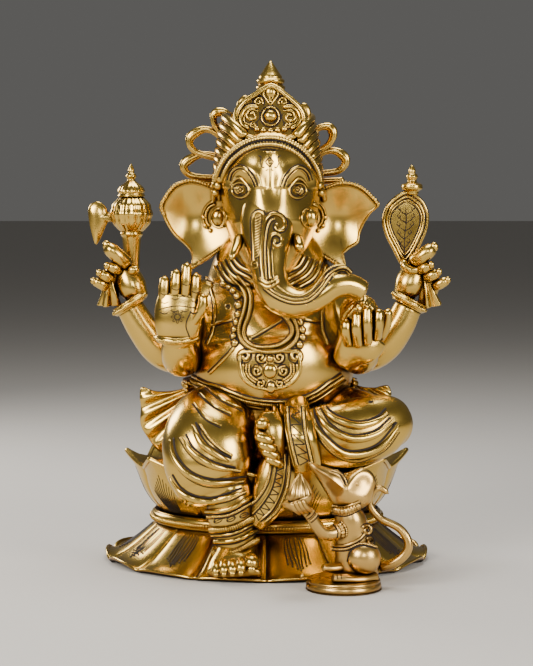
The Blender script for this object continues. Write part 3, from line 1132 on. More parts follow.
# %% Plume, scrolls and cords on the trunk
trunk_work, trunk_cuts = [], []
PLUME = [(-9.6, 227.6), (-9.9, 239.8), (-10.6, 252), (-10.5, 261.2), (-8, 265.5), (-4.2, 265.6),
         (-1.9, 262.7), (-3, 253.6), (-4.2, 242.1), (-5.4, 232.2)]
trunk_work.append(roll(PLUME, face_ground, 1.1))
trunk_cuts.append(cut(offset(PLUME, 1.6), face_ground, 0.5))
BARB_TOP, BARB_LOW = (-6.5, 262.3), (-7.3, 232.2)
for k in range(15):
    t = k / 14
    x = BARB_TOP[0] + t * (BARB_LOW[0] - BARB_TOP[0])
    z = BARB_TOP[1] + t * (BARB_LOW[1] - BARB_TOP[1])
    trunk_work.append(roll([(x - 2.6, z - 1.4), (x, z - 0.2),
                            (x + 2.6, z + 1.2)], face_ground, 0.85))
    trunk_cuts.append(cut([(x - 2.7, z - 2.6), (x, z - 1.4), (x + 2.6, z)], face_ground, 0.55))
INNER = [(-2.4, 213.8), (-3.9, 227.6), (-3.7, 241.4), (-2.2, 255.1), (-0.1, 261.2), (5, 264.5),
         (11.1, 262.7), (14.1, 258.1), (12.9, 252.8), (8.8, 251.6), (6.9, 254.8), (9.2, 257.1)]
MIDDLE = [(0.1, 213.1), (-1, 227.6), (-1.1, 241.4), (0.4, 252.8), (3, 258.9), (6.5, 260.9)]
OUTER = [(3, 213.8), (2.2, 227.6), (1.6, 239.8), (3.4, 247.5), (7.7, 249), (11.5, 245.9),
         (11.1, 241.1), (7.6, 239.8), (5.7, 242.4), (7.7, 244.4)]
LAST = [(5.7, 214.9), (4.8, 227.6), (4.5, 236.8), (5.7, 238.6)]
trunk_work += [roll(INNER, face_ground, 1.45), cord(MIDDLE, face_ground, 0.9),
               roll(OUTER, face_ground, 1.4), roll(LAST, face_ground, 0.9)]
for line, side in ((INNER, 1.9), (MIDDLE, 1.2), (MIDDLE, -1.2), (OUTER, -1.9)):
    trunk_cuts.append(cut(offset(line, side), face_ground, 0.5))
trunk_work.append(roll(scroll((-8.5, 225.6), 3.4, 1.2, 90, 1, 0.3), face_ground, 0.85))
KNOT = [[(-5.7, 215.7), (1.1, 211.5), (9.6, 216.6)], [(-6, 212.6), (1.6, 208.5), (10.3, 213.8)]]
for line in KNOT:
    trunk_work.append(roll(line, face_ground, 1.6, lift=0.9))
trunk_cuts.append(cut([(-6, 214.1), (1.4, 210), (10, 215.2)], face_ground, 0.5, lift=1.2))
RUN_LOW = [(-1.9, 208.1), (4.2, 203.1), (11.9, 198.8), (21.8, 196.4), (33, 198.5), (42, 206.5),
           (48.6, 215.7), (54.7, 220.3), (60, 221), (63.9, 217.7)]
RUN_TOP = [(7.3, 210), (16.5, 203.4), (26.3, 202), (34.8, 206.5), (41.4, 214.9), (47, 221.8),
           (53.1, 224.8), (60.8, 225.3)]
trunk_work += [cord(RUN_LOW, face_ground, 1.0), roll(offset(RUN_LOW, 2.3), face_ground, 0.85),
               cord(RUN_TOP, face_ground, 0.75)]
for side in (1.2, -1.5, 3.4):
    trunk_cuts.append(cut(offset(RUN_LOW, side), face_ground, 0.45))
for k in range(9):
    t = 0.42 + k * 0.062
    a = spline(RUN_LOW, 101)[int(t * 100)]
    trunk_work.append(roll([a + [-1.2, -1.6], a + [0.6, -4.2]], face_ground, 0.4, smooth=False))

# %% Rims and earrings
def rim_lines(outline, middle, share, start, stop):
    """Part of an outline drawn in towards the middle."""
    edge = spline(outline, 300, closed=True)
    edge = np.asarray(middle) + share * (edge - np.asarray(middle))
    return edge[int(start * 300):int(stop * 300)]


ear_ground = {"right": tree([right_ear]), "left": tree([left_ear])}
ear_work = {"right": [], "left": []}
for side, outline, middle, spans in (
        ("right", RIGHT_EAR, (-52.3, 261.2), ((0.02, 0.36), (0.74, 0.90))),
        ("left", LEFT_EAR, (54.6, 260.4), ((0.0, 0.27), (0.76, 0.90)))):
    ground = ear_ground[side]
    for start, stop in spans:
        ear_work[side].append(roll(rim_lines(outline, middle, 0.965, start, stop), ground, 1.4,
                                   smooth=False, mill=0.34, pitch=2.2, lift=0.7))
        ear_work[side].append(roll(rim_lines(outline, middle, 0.90, start, stop), ground, 0.8,
                                   smooth=False))
RIGHT_DISC, LEFT_DISC = (-36.3, 261.2), (32.8, 261.2)
earrings = {}
for side, (cx, cz), hand in (("right", RIGHT_DISC, -1), ("left", LEFT_DISC, 1)):
    ground = tree([right_ear if side == "right" else left_ear, head])
    at = lay([(cx, cz), (cx + 0.1, cz)], ground, 0.6, smooth=False)[0]
    frame_line = [(cx + hand * (1.5 + 8.5 * math.sin(a)), cz + 1 + 9.5 * math.cos(a))
                  for a in np.linspace(0.1, 2.5, 12)]
    earrings[side] = [
        ball(at + [0, 1, 0], (5.2, 2.6, 6.4), 24, 32),
        roll(oval_line((cx, cz), 6.0, 7.2), ground, 0.8, closed=True, lift=1.0),
        cord(frame_line, ground, 1.15, lift=1.0), roll(offset(frame_line, 2.4 * hand), ground, 0.8,
                                                       lift=0.9)]
    for dx, dz, r in ((11.5, 0.5, 2.1), (10.2, -5.8, 2.1), (6.5, -9.6, 1.7)):
        spot = lay([(cx + hand * dx, cz + dz), (cx + hand * dx + 0.1, cz + dz)], ground, 0.8,
                   smooth=False)[0]
        earrings[side].append(ball(spot, r, 16, 20))

# %% Leaf panel on the crown
def panel_y(z):
    """Depth of the panel's face, leaning back towards the top."""
    return -50.0 + 0.34 * (z - 296)


PANEL = [(3.3, 361.2), (-3.3, 358.3), (-10, 353.8), (-17.4, 349.3), (-23.1, 342.6),
         (-24.8, 334.8), (-22.5, 327.7), (-15.9, 321.1), (-6.3, 318.9),
         (3.3, 318.5), (15.1, 318.9), (24, 322.2), (29.2, 329.2),
         (30.2, 336.2), (26.9, 343.4), (20.4, 349.6), (14.5, 354.5), (9.3, 358.6)]
panel = shield(PANEL, (2.9, 339.6),
               lambda share, angle, x, z: panel_y(z) - 2.6 * bump(share - 0.92, 0.05)
               + 2.2 * np.clip((share - 0.95) / 0.05, 0, 1) ** 2,
               lambda share, angle, x, z: panel_y(z) + 5.5 + 3 * (1 - share), rings=60, count=260)
panel_ground = tree([panel])
LEFT_C = [(-5.7, 345.1), (-11.8, 345.7), (-17.1, 343.2), (-19.7, 337.1), (-17.9, 331.4),
          (-12.9, 328.9)]
RIGHT_C = [(12.2, 345.1), (18.6, 345.7), (23.6, 342.7), (25.8, 337.1), (23.2, 331.4), (17.9, 328.9)]
panel_work, panel_cuts = [], []
for line, side in ((LEFT_C, 1), (RIGHT_C, -1)):
    panel_work.append(roll(line, panel_ground, 1.8))
    panel_work.append(roll(offset(line, 2.7 * side), panel_ground, 0.8))
    panel_cuts.append(cut(offset(line, -2.1 * side), panel_ground, 0.55))
    panel_cuts.append(cut(offset(line, 1.6 * side), panel_ground, 0.4))
for centre, radius, start, hand in (((-11, 339.1), 5.0, 60, 1), ((17.6, 338), 5.0, 120, -1),
                                    ((-6.2, 349.5), 3.7, -40, 1), ((12.8, 349.5), 3.7, 220, -1),
                                    ((-9.9, 331.7), 2.6, 90, 1), ((16, 331.7), 2.6, 90, -1)):
    panel_work.append(roll(scroll(centre, radius, 1.35, start, hand), panel_ground, radius * 0.26))
    panel_cuts.append(cut(scroll(centre, radius * 1.32, 0.9, start, hand, 0.9), panel_ground, 0.42))
PANEL_MIDDLE = (2.9, 339.6)
for share, width in ((0.945, 1.7), (0.885, 0.8)):
    edge = PANEL_MIDDLE + share * (spline(PANEL, 240, closed=True) - PANEL_MIDDLE)
    edge = (edge - EYE[[0, 2]]) * (1534 / (1534 - 41)) + EYE[[0, 2]]
    panel_work.append(roll(edge, panel_ground, width, closed=True, smooth=False))
BOSS = (3, 338.3)
boss_at = lay([BOSS, (BOSS[0] + 0.1, BOSS[1])], panel_ground, 0.5, smooth=False)[0]
panel_work.append(ball(boss_at, (4.6, 3.0, 4.6), 28, 36))
panel_work.append(roll(oval_line(BOSS, 6.6, 6.9), panel_ground, 0.85, closed=True))
panel_cuts.append(cut(oval_line(BOSS, 5.3, 5.4), panel_ground, 0.5, closed=True))
panel_cuts.append(cut(oval_line(BOSS, 8.0, 8.3), panel_ground, 0.4, closed=True))
BUD = [(3, 347.3), (0.7, 350.3), (-2.2, 354.9), (-0.8, 359), (3.3, 361), (7.5, 359),
       (8.7, 354.9), (5.4, 350.3)]
panel_work.append(roll(BUD, panel_ground, 0.9, closed=True))
panel_work.append(ball(lay([(3.3, 356.3), (3.4, 356.3)], panel_ground, 0.2, smooth=False)[0],
                       (4.0, 2.2, 4.4), 20, 28))
panel_work.append(roll([(3.1, 348.5), (2.4, 353), (0.4, 356)], panel_ground, 0.6))
panel_work.append(roll([(3.3, 348.5), (4.5, 353), (6.8, 356)], panel_ground, 0.6))
for spot in ((-7.4, 328.5), (-2.4, 327.7), (3.1, 327.3), (8.4, 327.7), (13.6, 328.5)):
    at = lay([spot, (spot[0] + 0.1, spot[1])], panel_ground, 0.3, smooth=False)[0]
    panel_work.append(ball(at, (2.3, 1.8, 2.3), 16, 20))
panel_work += [ball((-17.5, -27, 346.7), (4.4, 2.4, 6.8), 20, 26, lean=24),
               ball((28.7, -30, 340.7), (4.4, 2.4, 6.8), 20, 26, lean=-12)]

# %% Turban rolls: each leaves the band, bulges at the side and runs round to the back
def between(a, b, t):
    """Point at the share t of the way from a to b."""
    return (1 - t) * np.array(a, float) + t * np.array(b, float)


turban_rolls = []
for hand, front_top, front_low, side_top, side_low in (
        (-1, (-14.4, -44, 321.1), (-34.9, -24, 279.7), (-31.2, -18, 337.3), (-37.5, -10, 282.6)),
        (1, (20.3, -44, 321.1), (37.2, -24, 279.7), (33.8, -18, 336.6), (39.8, -10, 282.6))):
    for k in range(10):
        t = k / 9
        start, side = between(front_top, front_low, t), between(side_top, side_low, t)
        side = side + [hand * 2.0 * math.sin(math.pi * t), 0, 0]
        middle = 0.5 * (start + side) + [hand * 2.4, -6.5, 3.0 * (1 - t)]
        back = np.array([MID + hand * (26 + 8 * t), 16, side[2] + 2])
        nape = np.array([MID + hand * 4, 29 - 6 * (1 - t), side[2] + 4])
        path = spline([start, middle, side, back, nape], 60)
        turban_rolls.append(tube(path, 3.5 - 0.7 * np.linspace(0, 1, 60), 18))

# %% Brow band: three milled cords and thin rolls between them
BAND = [(2.6, -51, 318.4), (-8.5, -50, 317.3), (-18.1, -48, 313.3), (-26.6, -44, 306.4),
        (-32, -37, 298.3),
        (-35.6, -27, 289.4), (-36.9, -16, 281.1), (-36.9, -4, 275.7), (-33.5, 14, 280.9),
        (-18.2, 28, 285.4),
        (2.7, 33, 287), (22.9, 28, 285.4), (37.3, 14, 281.7), (40.7, -4, 275.7), (39.7, -14, 280.3),
        (37.9, -25, 287.2), (35.4, -35, 295.7), (30.7, -43, 304.2), (24, -47, 311.1),
        (13.6, -50, 316.6)]
band_line = spline(BAND, 360, closed=True)
lean = band_line - np.array([MID, 0, 284])
lean[:, 1] = 0
lean = unit(lean)
brow_band = []
for shift, back, radius, milled in ((-7.9, 0.6, 2.1, True), (-4.7, 0.3, 0.9, False),
                                    (-1.9, 0, 2.2, True),
                                    (0.5, 0.6, 0.9, False), (2.8, 1.4, 2.2, True)):
    path = band_line + lean * shift + [0, back, 0]
    brow_band.append(tube(path, radius, 12, closed=True, mill=0.15 if milled else 0, pitch=2.2))
band_cuts = [tube(band_line + lean * shift + [0, -1.0, 0], 0.45, 6, closed=True)
             for shift in (-5.8, -3.8, -0.2, 1.0)]

# %% Neck folds and chest
NECK_LEFT = [[(-27.1, 233), (-20.3, 224.5), (-11.1, 220)], [(-29.4, 230.7), (-23.3, 221.5),
                                                            (-11.1, 214.6)],
             [(-33.3, 229.1), (-26.4, 218.4), (-12.6, 209.6)], [(-36.7, 226.8), (-28.7, 214.6),
                                                                (-11.9, 204.6)],
             [(-40.1, 224.5), (-31, 210.8), (-15.7, 200.8)]]
NECK_RIGHT = [[(29.4, 233), (24.1, 224.5), (14.9, 220)], [(33.3, 231.4), (27.1, 221.5),
                                                          (14.9, 213.8)],
              [(37.5, 229.9), (31, 218.4), (14.9, 208.5)], [(41.7, 228.4), (35.6, 215.4),
                                                            (18, 204.6)],
              [(46.3, 226.1), (40.2, 213.1), (25.6, 203.9)]]
body_work, body_cuts = [], []
for line in NECK_LEFT + NECK_RIGHT:
    body_work.append(roll(line, body_ground, 1.5, default=1495.0))
    body_cuts.append(cut(offset(line, 1.9), body_ground, 0.5, default=1495.0))
EDGE_LEFT = [(-46.3, 216.9), (-41.7, 204.6), (-39.4, 190.8), (-41, 175.5), (-45.6, 163.9)]
EDGE_RIGHT = [(49.3, 220), (45.5, 204.6), (42.5, 189.3), (42.9, 175.5), (47.2, 163.9)]
body_work.append(roll(EDGE_LEFT, body_ground, 1.2))
body_work.append(cord(EDGE_RIGHT, body_ground, 1.5))
body_cuts.append(cut(offset(EDGE_LEFT, -1.7), body_ground, 0.6))
body_cuts.append(cut(offset(EDGE_RIGHT, 1.9), body_ground, 0.6))
body_work.append(roll(oval_line((-29.3, 193.3), 2.1, 2.2), body_ground, 0.6, closed=True))
body_cuts.append(cut(oval_line((-29.3, 193.3), 1.3, 1.4), body_ground, 0.5, closed=True))
for line in ([(-43.3, 178.2), (-34.9, 181.6), (-25.7, 183.9)], [(28.5, 183.9), (34.9, 182.8),
                                                                (41.8, 182)],
             [(-12.2, 169.3), (-0.4, 176.2), (11.9, 183.9)], [(-24.2, 162.4), (-32.6, 153.1),
                                                              (-44.2, 141.6)]):
    body_work.append(roll(line, body_ground, 1.25))
    body_cuts.append(cut(offset(line, -1.6), body_ground, 0.6))

# %% Garland
OUTER_ROPE = [(-28.7, 219.2), (-24.9, 213.8), (-19.5, 208.5), (-15.9, 200.8), (-16.9, 191.6),
              (-20.3, 180.8),
              (-21.1, 174.7), (-19.2, 167.8), (-13.4, 162.1), (-4.2, 159), (5, 158.5),
              (13.9, 160.3),
              (20.9, 165.5), (23.7, 171.8), (22.6, 179.3), (18.8, 186.2), (15.7, 190.8)]
INNER_ROPE = [(-22.6, 217.7), (-17.2, 211.5), (-12.6, 203.9), (-12.2, 194.7), (-13.9, 186.2),
              (-16.9, 177.5),
              (-17.3, 170.9), (-13.9, 165.5), (-7.7, 162.7), (1.2, 162.4), (9.4, 163.9),
              (15.9, 167.8), (19.5, 173.2), (18.5, 179.3), (14.2, 185.5), (11.1, 190.1)]
garland = [cord(OUTER_ROPE, body_ground, 1.7, lift=0.9), cord(INNER_ROPE, body_ground, 1.7, lift=0.9)]
garland_cuts = [cut(offset(INNER_ROPE, 1.9), body_ground, 0.6),
                cut(offset(OUTER_ROPE, -2.2), body_ground, 0.6)]
BEADS = [(*(-32.5, 210.7), 2.6), (*(-28.4, 208.2), 2.2), (*(-24.9, 205.4), 2.8), (*(-22, 201), 2.9),
         (*(-21.1, 194.4), 3.3), (*(-21.7, 187.4), 2.8), (*(-23.1, 181.5), 2.6),
         (*(-24.5, 175.9), 2.6), (*(-25.2, 170.5), 2.6), (*(-24.2, 165.3), 2.7),
         (*(25.7, 181.2), 2.6), (*(27.2, 175.5), 2.7), (*(27.5, 169.6), 2.7), (*(25.4, 163.9), 2.7)]
for x, z, r in BEADS:
    at = lay([(x, z), (x + 0.1, z)], body_ground, 0.6, smooth=False)[0]
    garland.append(ball(at, (r, r * 0.8, r * 1.05), 20, 26))
    garland_cuts.append(cut(oval_line((x, z), r * 1.12, r * 1.18), body_ground, 0.45, closed=True))

# %% Pendant
pendant = []
pendant_cuts = []
RIM = [(-16.5, 158.5), (-20.3, 153.1), (-20.3, 147), (-19.1, 140.8), (-15, 135.4), (-8.8, 131.9),
       (-2.7, 130.5),
       (2.7, 129.2), (8.1, 130.5), (14.2, 132), (20.4, 135.9), (24.5, 141.6), (25.6, 147.8),
       (24.9, 153.9), (21.1, 158.8)]
PLATE_MIDDLE = (2.7, 144.7)


pendant.append(roll(RIM, body_ground, 1.5, closed=True, lift=0.8))
pendant_cuts.append(cut(offset(RIM, 2.0), body_ground, 0.7))
for hand in (-1, 1):
    def place(px_dx, py):
        """Spot by its steps from the pendant's own middle line."""
        return (PLATE_MIDDLE[0] + hand * px_dx, py)

    def curl_at(dx, z, radius, turns, start, width):
        centre = place(dx, z)
        angle = start if hand > 0 else 180 - start
        pendant.append(roll(scroll(centre, radius, turns, angle, hand), body_ground, width, lift=0.9))
        pendant_cuts.append(cut(scroll(centre, radius * 1.3, turns * 0.8, angle, hand, 0.75),
                                body_ground, 0.45))

    rise = PLATE_MIDDLE[1]
    curl_at(19.4, rise + 10.6, 5.0, 1.35, -60, 1.35)
    curl_at(7.0, rise + 9.6, 4.0, 1.4, 170, 1.0)
    curl_at(10.2, rise - 0.8, 4.0, 1.6, 60, 0.95)
    curl_at(7.4, rise - 10.4, 3.0, 1.3, 120, 0.95)
    for step_in in (0.0, 2.5, 4.7):
        arc = [place(20.4 - step_in, rise + 5.0), place(20.6 - step_in, rise - 2.0),
               place(17.4 - step_in * 0.9, rise - 7.6 + step_in * 0.4),
               place(11.6 - step_in * 0.5, rise - 12.0 + step_in * 0.8)]
        pendant.append(cord(arc, body_ground, 0.95, lift=0.7) if step_in else
                       roll(arc, body_ground, 1.1, lift=0.7))
        pendant_cuts.append(cut(offset(arc, 1.2 * hand), body_ground, 0.45))
for dx, dz, half_x, half_z in ((0, 8.8, 2.4, 2.6), (0, -1.0, 4.6, 5.2), (0.8, -13.4, 3.0, 4.4)):
    spot = (PLATE_MIDDLE[0] + dx, PLATE_MIDDLE[1] + dz)
    at = lay([spot, (spot[0] + 0.1, spot[1])], body_ground, 1.0, smooth=False)[0]
    pendant.append(ball(at, (half_x, 1.8, half_z), 24, 30))
    pendant.append(roll(oval_line(spot, half_x + 1.0, half_z + 1.0), body_ground, 0.7, closed=True))
    pendant_cuts.append(cut(oval_line(spot, half_x + 0.1, half_z + 0.1), body_ground, 0.45,
                            closed=True, lift=0.7))

# %% Belt
BELT = [(-58.8, 137.7), (-48, 132.3), (-36.6, 128.5), (-25.3, 123.8), (-12.7, 119.7), (6, 117.3),
        (23, 118.9), (37.3, 124.1), (48.8, 131.9), (59.5, 139.3)]
belt = [cord(BELT, body_ground, 1.8, lift=0.6), roll(offset(BELT, 3.0), body_ground, 1.3),
        roll(offset(BELT, -3.0), body_ground, 1.3)]
belt_cuts = [cut(offset(BELT, 1.85), body_ground, 0.55), cut(offset(BELT, -1.75), body_ground, 0.55),
             cut(offset(BELT, 4.4), body_ground, 0.6)]
back_half = spline([(-60, -14, 133), (-63, 6, 134), (-50, 32, 134), (-25, 46, 134), (3, 50, 134),
                    (31, 46, 134), (56, 32, 134), (68, 6, 134), (66, -14, 136)], 200)
belt += [tube(back_half, 1.9, mill=0.24, pitch=1.5), tube(back_half + [0, 0, 3], 1.3),
         tube(back_half - [0, 0, 3], 1.3)]

# %% Robe folds over the seated leg
SEAT_FOLDS = [
    ([(42.7, 121.5), (47.3, 115.3), (55.8, 109.1), (70, 104.9), (84.2, 108.4), (91.9, 115.3)],
     [(45, 115.3), (52.9, 106), (68.6, 100.4), (84.2, 104.6), (93.4, 111.9)]),
    ([(39.6, 120), (43.4, 110.7), (51.5, 101.4), (65.8, 94.7), (82.7, 97.7), (95.8, 108.4)],
     [(40.4, 113.8), (47.9, 101.8), (64.3, 90.3), (84.3, 94.7), (98.5, 106)]),
    ([(35.7, 118.4), (38.8, 106), (47.3, 93.1), (62.9, 82.4), (84.3, 86.7), (100.4, 104.5)],
     [(35.8, 107.6), (41.6, 91.8), (54.3, 78.9), (70.1, 74.6), (90, 83.2), (101.3, 97.5)])]
seat_work, seat_cuts = [], []
for fold, edge in SEAT_FOLDS:
    seat_work.append(taper(offset(fold, -3.2), seat_ground, 3.2, lift=-0.4))
    seat_cuts.append(cut(fold, seat_ground, 0.95))
    seat_work.append(cord(edge, seat_ground, 1.25))
    seat_cuts.append(cut(offset(edge, -1.6), seat_ground, 0.4))
STAR = (80.3, 120)
for k in range(6):
    a = math.pi * k / 6
    seat_cuts.append(cut([(STAR[0] - 2.6 * math.cos(a), STAR[1] - 1.3 * math.sin(a)),
                          (STAR[0] + 2.6 * math.cos(a), STAR[1] + 1.3 * math.sin(a))], seat_ground,
                         0.25, smooth=False))

# %% Robe folds over the hanging leg
KNEE_FOLDS = [
    ([(-54.5, 104.6), (-48.1, 90.5), (-38.9, 82.8), (-26.6, 75.8)], [(-51.6, 103.2), (-43.9, 91.8),
                                                                     (-35.8, 84.3), (-25.8, 78.1)]),
    ([(-62.3, 95.3), (-55.3, 83.6), (-41.1, 73.8), (-23.5, 69.1)],
     [(-66.6, 93.2), (-58.9, 80.5), (-45.8, 71.1), (-19.7, 66.5)]),
    ([(-71.6, 92.5), (-68.8, 78.9), (-58.2, 66.2), (-41.1, 60.3), (-15.4, 62.1)],
     [(-72.8, 81.2), (-65.9, 67.3), (-53.6, 57.9), (-38.9, 54.8), (-17.3, 58.7)]),
    ([(-72.8, 64.1), (-65.5, 53.3), (-53.6, 47), (-39.7, 46.3), (-18.9, 53.3)],
     [(-72.1, 56.4), (-62.1, 46.3), (-46.7, 41.6), (-30.5, 43.9), (-15.8, 50.5)])]
knee_work, knee_cuts = [], []
for fold, edge in KNEE_FOLDS:
    knee_work.append(taper(offset(fold, -3.0), thigh_ground, 3.0, lift=-0.4))
    knee_cuts.append(cut(fold, thigh_ground, 0.9))
    knee_work.append(cord(edge, thigh_ground, 1.1))
    knee_cuts.append(cut(offset(edge, -1.5), thigh_ground, 0.35))
shin_work, shin_cuts = [], []
BANDS = [([(-48.2, 34.6), (-28.9, 36.9), (-9.6, 47.8)], 2.0, False),
         ([(-46.7, 30.7), (-28.2, 32.6), (-8.9, 43.5)], 1.1, True),
         ([(-45.2, 20.5), (-26.6, 22.1), (-7.3, 31.4)], 2.3, True),
         ([(-43.7, 16.2), (-25.9, 17.8), (-7.3, 26.8)], 1.1, False),
         ([(-41.3, 11.1), (-23.6, 12.7), (-6.6, 21.3)], 1.9, False),
         ([(-42.1, 2.2), (-23.6, 3.7), (-5, 14.3)], 2.4, True)]
for line, radius, milled in BANDS:
    shin_work.append((cord if milled else roll)(line, thigh_ground, radius, lift=0.3))
    shin_cuts.append(cut(offset(line, -radius - 0.4), thigh_ground, 0.65))
for k in range(3):
    leaf = ((-37.4, 29.1)[0] + 10 * k, (-37.4, 29.1)[1] + (-1, 0, 3)[k])
    shin_cuts.append(cut(oval_line(leaf, 3.6, 1.7, 24), thigh_ground, 0.35, closed=True))
    shin_cuts.append(cut([(leaf[0] - 3.4, leaf[1] - 1.5), (leaf[0] + 3.4, leaf[1] + 1.5)],
                         thigh_ground, 0.3, smooth=False))

for line in ([(-51.1, 127.7), (-40.4, 117.6), (-26.5, 110.7)], [(-46.5, 132.3), (-32.7, 121.5),
                                                                (-17.3, 114.5)],
             [(-55.7, 120), (-46.5, 108.4), (-34.2, 101.4)]):
    knee_work.append(taper(line, thigh_ground, 1.6, lift=0.2))
    knee_cuts.append(cut(offset(line, -1.9), thigh_ground, 0.55))

# %% Cloth between the legs
DRAPE_LINES = [[(17.3, 85.1), (17.6, 70.4), (15.5, 53.6), (8.9, 36.9), (-1.2, 26.8)],
               [(14.2, 85.1), (13.8, 67.3), (11.2, 51.7), (4.2, 36.9), (-5.8, 27.5)],
               [(7.3, 85.1), (6.4, 67.3), (3.2, 53.3), (-3.5, 41.6), (-11.2, 33)],
               [(3.8, 84.3), (3, 68.8), (-0.4, 55.6), (-7.3, 44.7), (-14.3, 38.5)]]
drape_work, drape_cuts = [], []
for k, line in enumerate(DRAPE_LINES):
    drape_work.append(cord(line, lap_ground, 1.1) if k in (0, 3) else roll(line, lap_ground, 0.8))
    drape_cuts.append(cut(offset(line, 1.4), lap_ground, 0.5))
drape_cuts.append(cut(zigzag(DRAPE_LINES[1], DRAPE_LINES[2], 9), lap_ground, 0.42, smooth=False))
SASH_LEFT = [(16.1, 116.9), (16.8, 102.2), (19.6, 86.7), (23.5, 70.4)]
SASH_RIGHT = [(28, 117.6), (29.6, 98.3), (32.4, 84.3), (35.1, 71.9)]
SASH_REACH = 1466.0  # distance from the standpoint where a sight line misses the sash
sash_work = [cord(line, sash_ground, 1.1, default=SASH_REACH) for line in (SASH_LEFT, SASH_RIGHT)]
sash_work += [roll(offset(SASH_LEFT, -2.2), sash_ground, 0.7),
              roll(offset(SASH_RIGHT, 2.2), sash_ground, 0.7)]
sash_cuts = [cut(zigzag(offset(SASH_LEFT, 2.2), offset(SASH_RIGHT, -2.2), 6), sash_ground, 0.42,
                 smooth=False),
             cut(offset(SASH_LEFT, 1.4), sash_ground, 0.5),
             cut(offset(SASH_RIGHT, -1.4), sash_ground, 0.5)]

# %% Creases on the open palm and its rosette
palm_cuts = []
for path in FINGERS:
    (x0, _, z0), (x2, _, z2) = path[0], path[-1]
    for t in (0.04, 0.42, 0.72):
        x, z = x0 + (x2 - x0) * t, z0 + (z2 - z0) * t
        palm_cuts.append(cut([(x * 1.04 - 3.2, z - 11.9 + 0.9), (x * 1.04, z - 12.3),
                              (x * 1.04 + 3.2, z - 11.9 + 0.9)],
                             palm_ground, 0.34))
PALM_MIDDLE = (-68.2, 185.5)
palm_cuts.append(cut(oval_line(PALM_MIDDLE, 2.2, 2.2), palm_ground, 0.32, closed=True))
for k in range(8):
    a = 2 * math.pi * k / 8
    petal = (PALM_MIDDLE[0] + 3.6 * math.cos(a), PALM_MIDDLE[1] + 3.6 * math.sin(a))
    palm_cuts.append(cut(oval_line(petal, 1.4, 0.8, math.degrees(a)), palm_ground, 0.24, closed=True))
palm_cuts.append(cut([(-82.3, 191.3), (-69.3, 193.9), (-54, 192.4)], palm_ground, 0.4))
palm_cuts.append(cut([(-58.7, 169.3), (-61.7, 179.3), (-57.8, 190.1)], palm_ground, 0.45))

# %% Motif on the paddle
paddle_ground = tree(paddle)
paddle_work, paddle_cuts = [], []
leaf_middle = np.array(LEAF_MIDDLE)
for share, width in ((0.94, 1.5), (0.80, 1.0), (0.70, 0.6)):
    edge = leaf_middle + share * (spline(PADDLE, 200, closed=True) - leaf_middle)
    paddle_work.append(roll(edge, paddle_ground, width, closed=True, smooth=False))
    inner = leaf_middle + (share - 0.065) / share * (edge - leaf_middle)
    paddle_cuts.append(cut(inner, paddle_ground, 0.42, closed=True, smooth=False))
STEM = [(105.6, 230.7), (105.3, 244.4), (106.5, 256.6), (106.4, 268.8)]
paddle_cuts.append(cut(STEM, paddle_ground, 0.4))
for k in range(5):
    for hand in (-1, 1):
        a = spline(STEM, 101)[18 + 17 * k]
        reach = 3.2 + 1.1 * k - 0.5 * max(0, k - 2) * 2
        paddle_cuts.append(cut([a, a + [hand * reach * 0.7, 2.4], a + [hand * reach * 1.2, 5.4]],
                               paddle_ground, 0.36))
        paddle_cuts.append(cut(scroll(a + [hand * reach * 0.9, 5.2], 1.9, 0.9, 90, -hand, 0.4),
                               paddle_ground, 0.3))

# %% Mouse ornament
mouse_work, mouse_cuts = [], []
COLLARS = [[(49.8, 39.6), (60.6, 38.5), (72.5, 43.1)], [(50.3, 33.8), (61.4, 32.7), (72.9, 37.7)],
           [(49.9, 8.8), (60.7, 8.5), (70.7, 12.7), (77.6, 19.7)],
           [(49.9, 5.7), (61.5, 5.7), (73, 9.9), (85.4, 7.2)],
           [(52.1, 26), (56, 20.5), (56, 14.3)], [(57.5, 27.5), (61.4, 21.6), (61.4, 15.1)],
           [(30.5, 29.9), (34.4, 32.7), (36.4, 36.4)], [(33.3, 27.1), (36.7, 29.9), (39.4, 33.8)]]
mouse_work.append(roll([(49.5, 36.6), (60.9, 35.5), (72.9, 40.3)], mouse_ground, 2.6, mill=0.14,
                       pitch=2.2))
mouse_work.append(roll([(55.1, 26), (58.6, 20.8), (58.8, 14.7)], mouse_ground, 1.9, mill=0.16,
                       pitch=2.0))
for k, line in enumerate(COLLARS):
    mouse_work.append(cord(line, mouse_ground, 0.95) if k % 2 else roll(line, mouse_ground, 1.1))
    mouse_cuts.append(cut(offset(line, -1.4), mouse_ground, 0.45))
for line in ([(48.2, 65.7), (55.9, 62.6), (60.2, 54.8)], [(50.5, 66.8), (58.2, 63.4),
                                                          (62.4, 55.6)]):
    mouse_work.append(roll(line, mouse_ground, 0.7))
    mouse_cuts.append(cut(offset(line, 1.1), mouse_ground, 0.35))
eye_at = (69.8, 56.4)
mouse_work.append(ball(lay([eye_at, (eye_at[0] + 0.1, eye_at[1])], mouse_ground, 0.2, smooth=False)[0],
                       (1.3, 1.0, 1.3), 14, 18))
for centre, radius in (((77.6, 20.5), 4.2), ((80, 11.9), 3.2)):
    mouse_work.append(roll(scroll(centre, radius, 1.3, 160, -1, 0.3), mouse_ground, 1.1))
    mouse_cuts.append(cut(scroll(centre, radius * 1.3, 0.9, 160, -1, 0.8), mouse_ground, 0.45))
mouse_cuts.append(cut([(83.1, 6.5), (73.8, 8.3), (65.3, 4.1), (62.3, -4.5)], mouse_ground, 0.6))
FOOT_X, FOOT_Z = 51.5, -15.5
for k in range(3):
    toe = FOOT_X + 3 * k
    mouse_cuts.append(cut([(toe, FOOT_Z + 1.6), (toe + 0.6, FOOT_Z - 2.6)], mouse_ground, 0.32,
                          smooth=False))

# %% [markdown]
# ## Making the pieces
#
# Each piece takes the place of the frame solids it stands for and rides with their body.

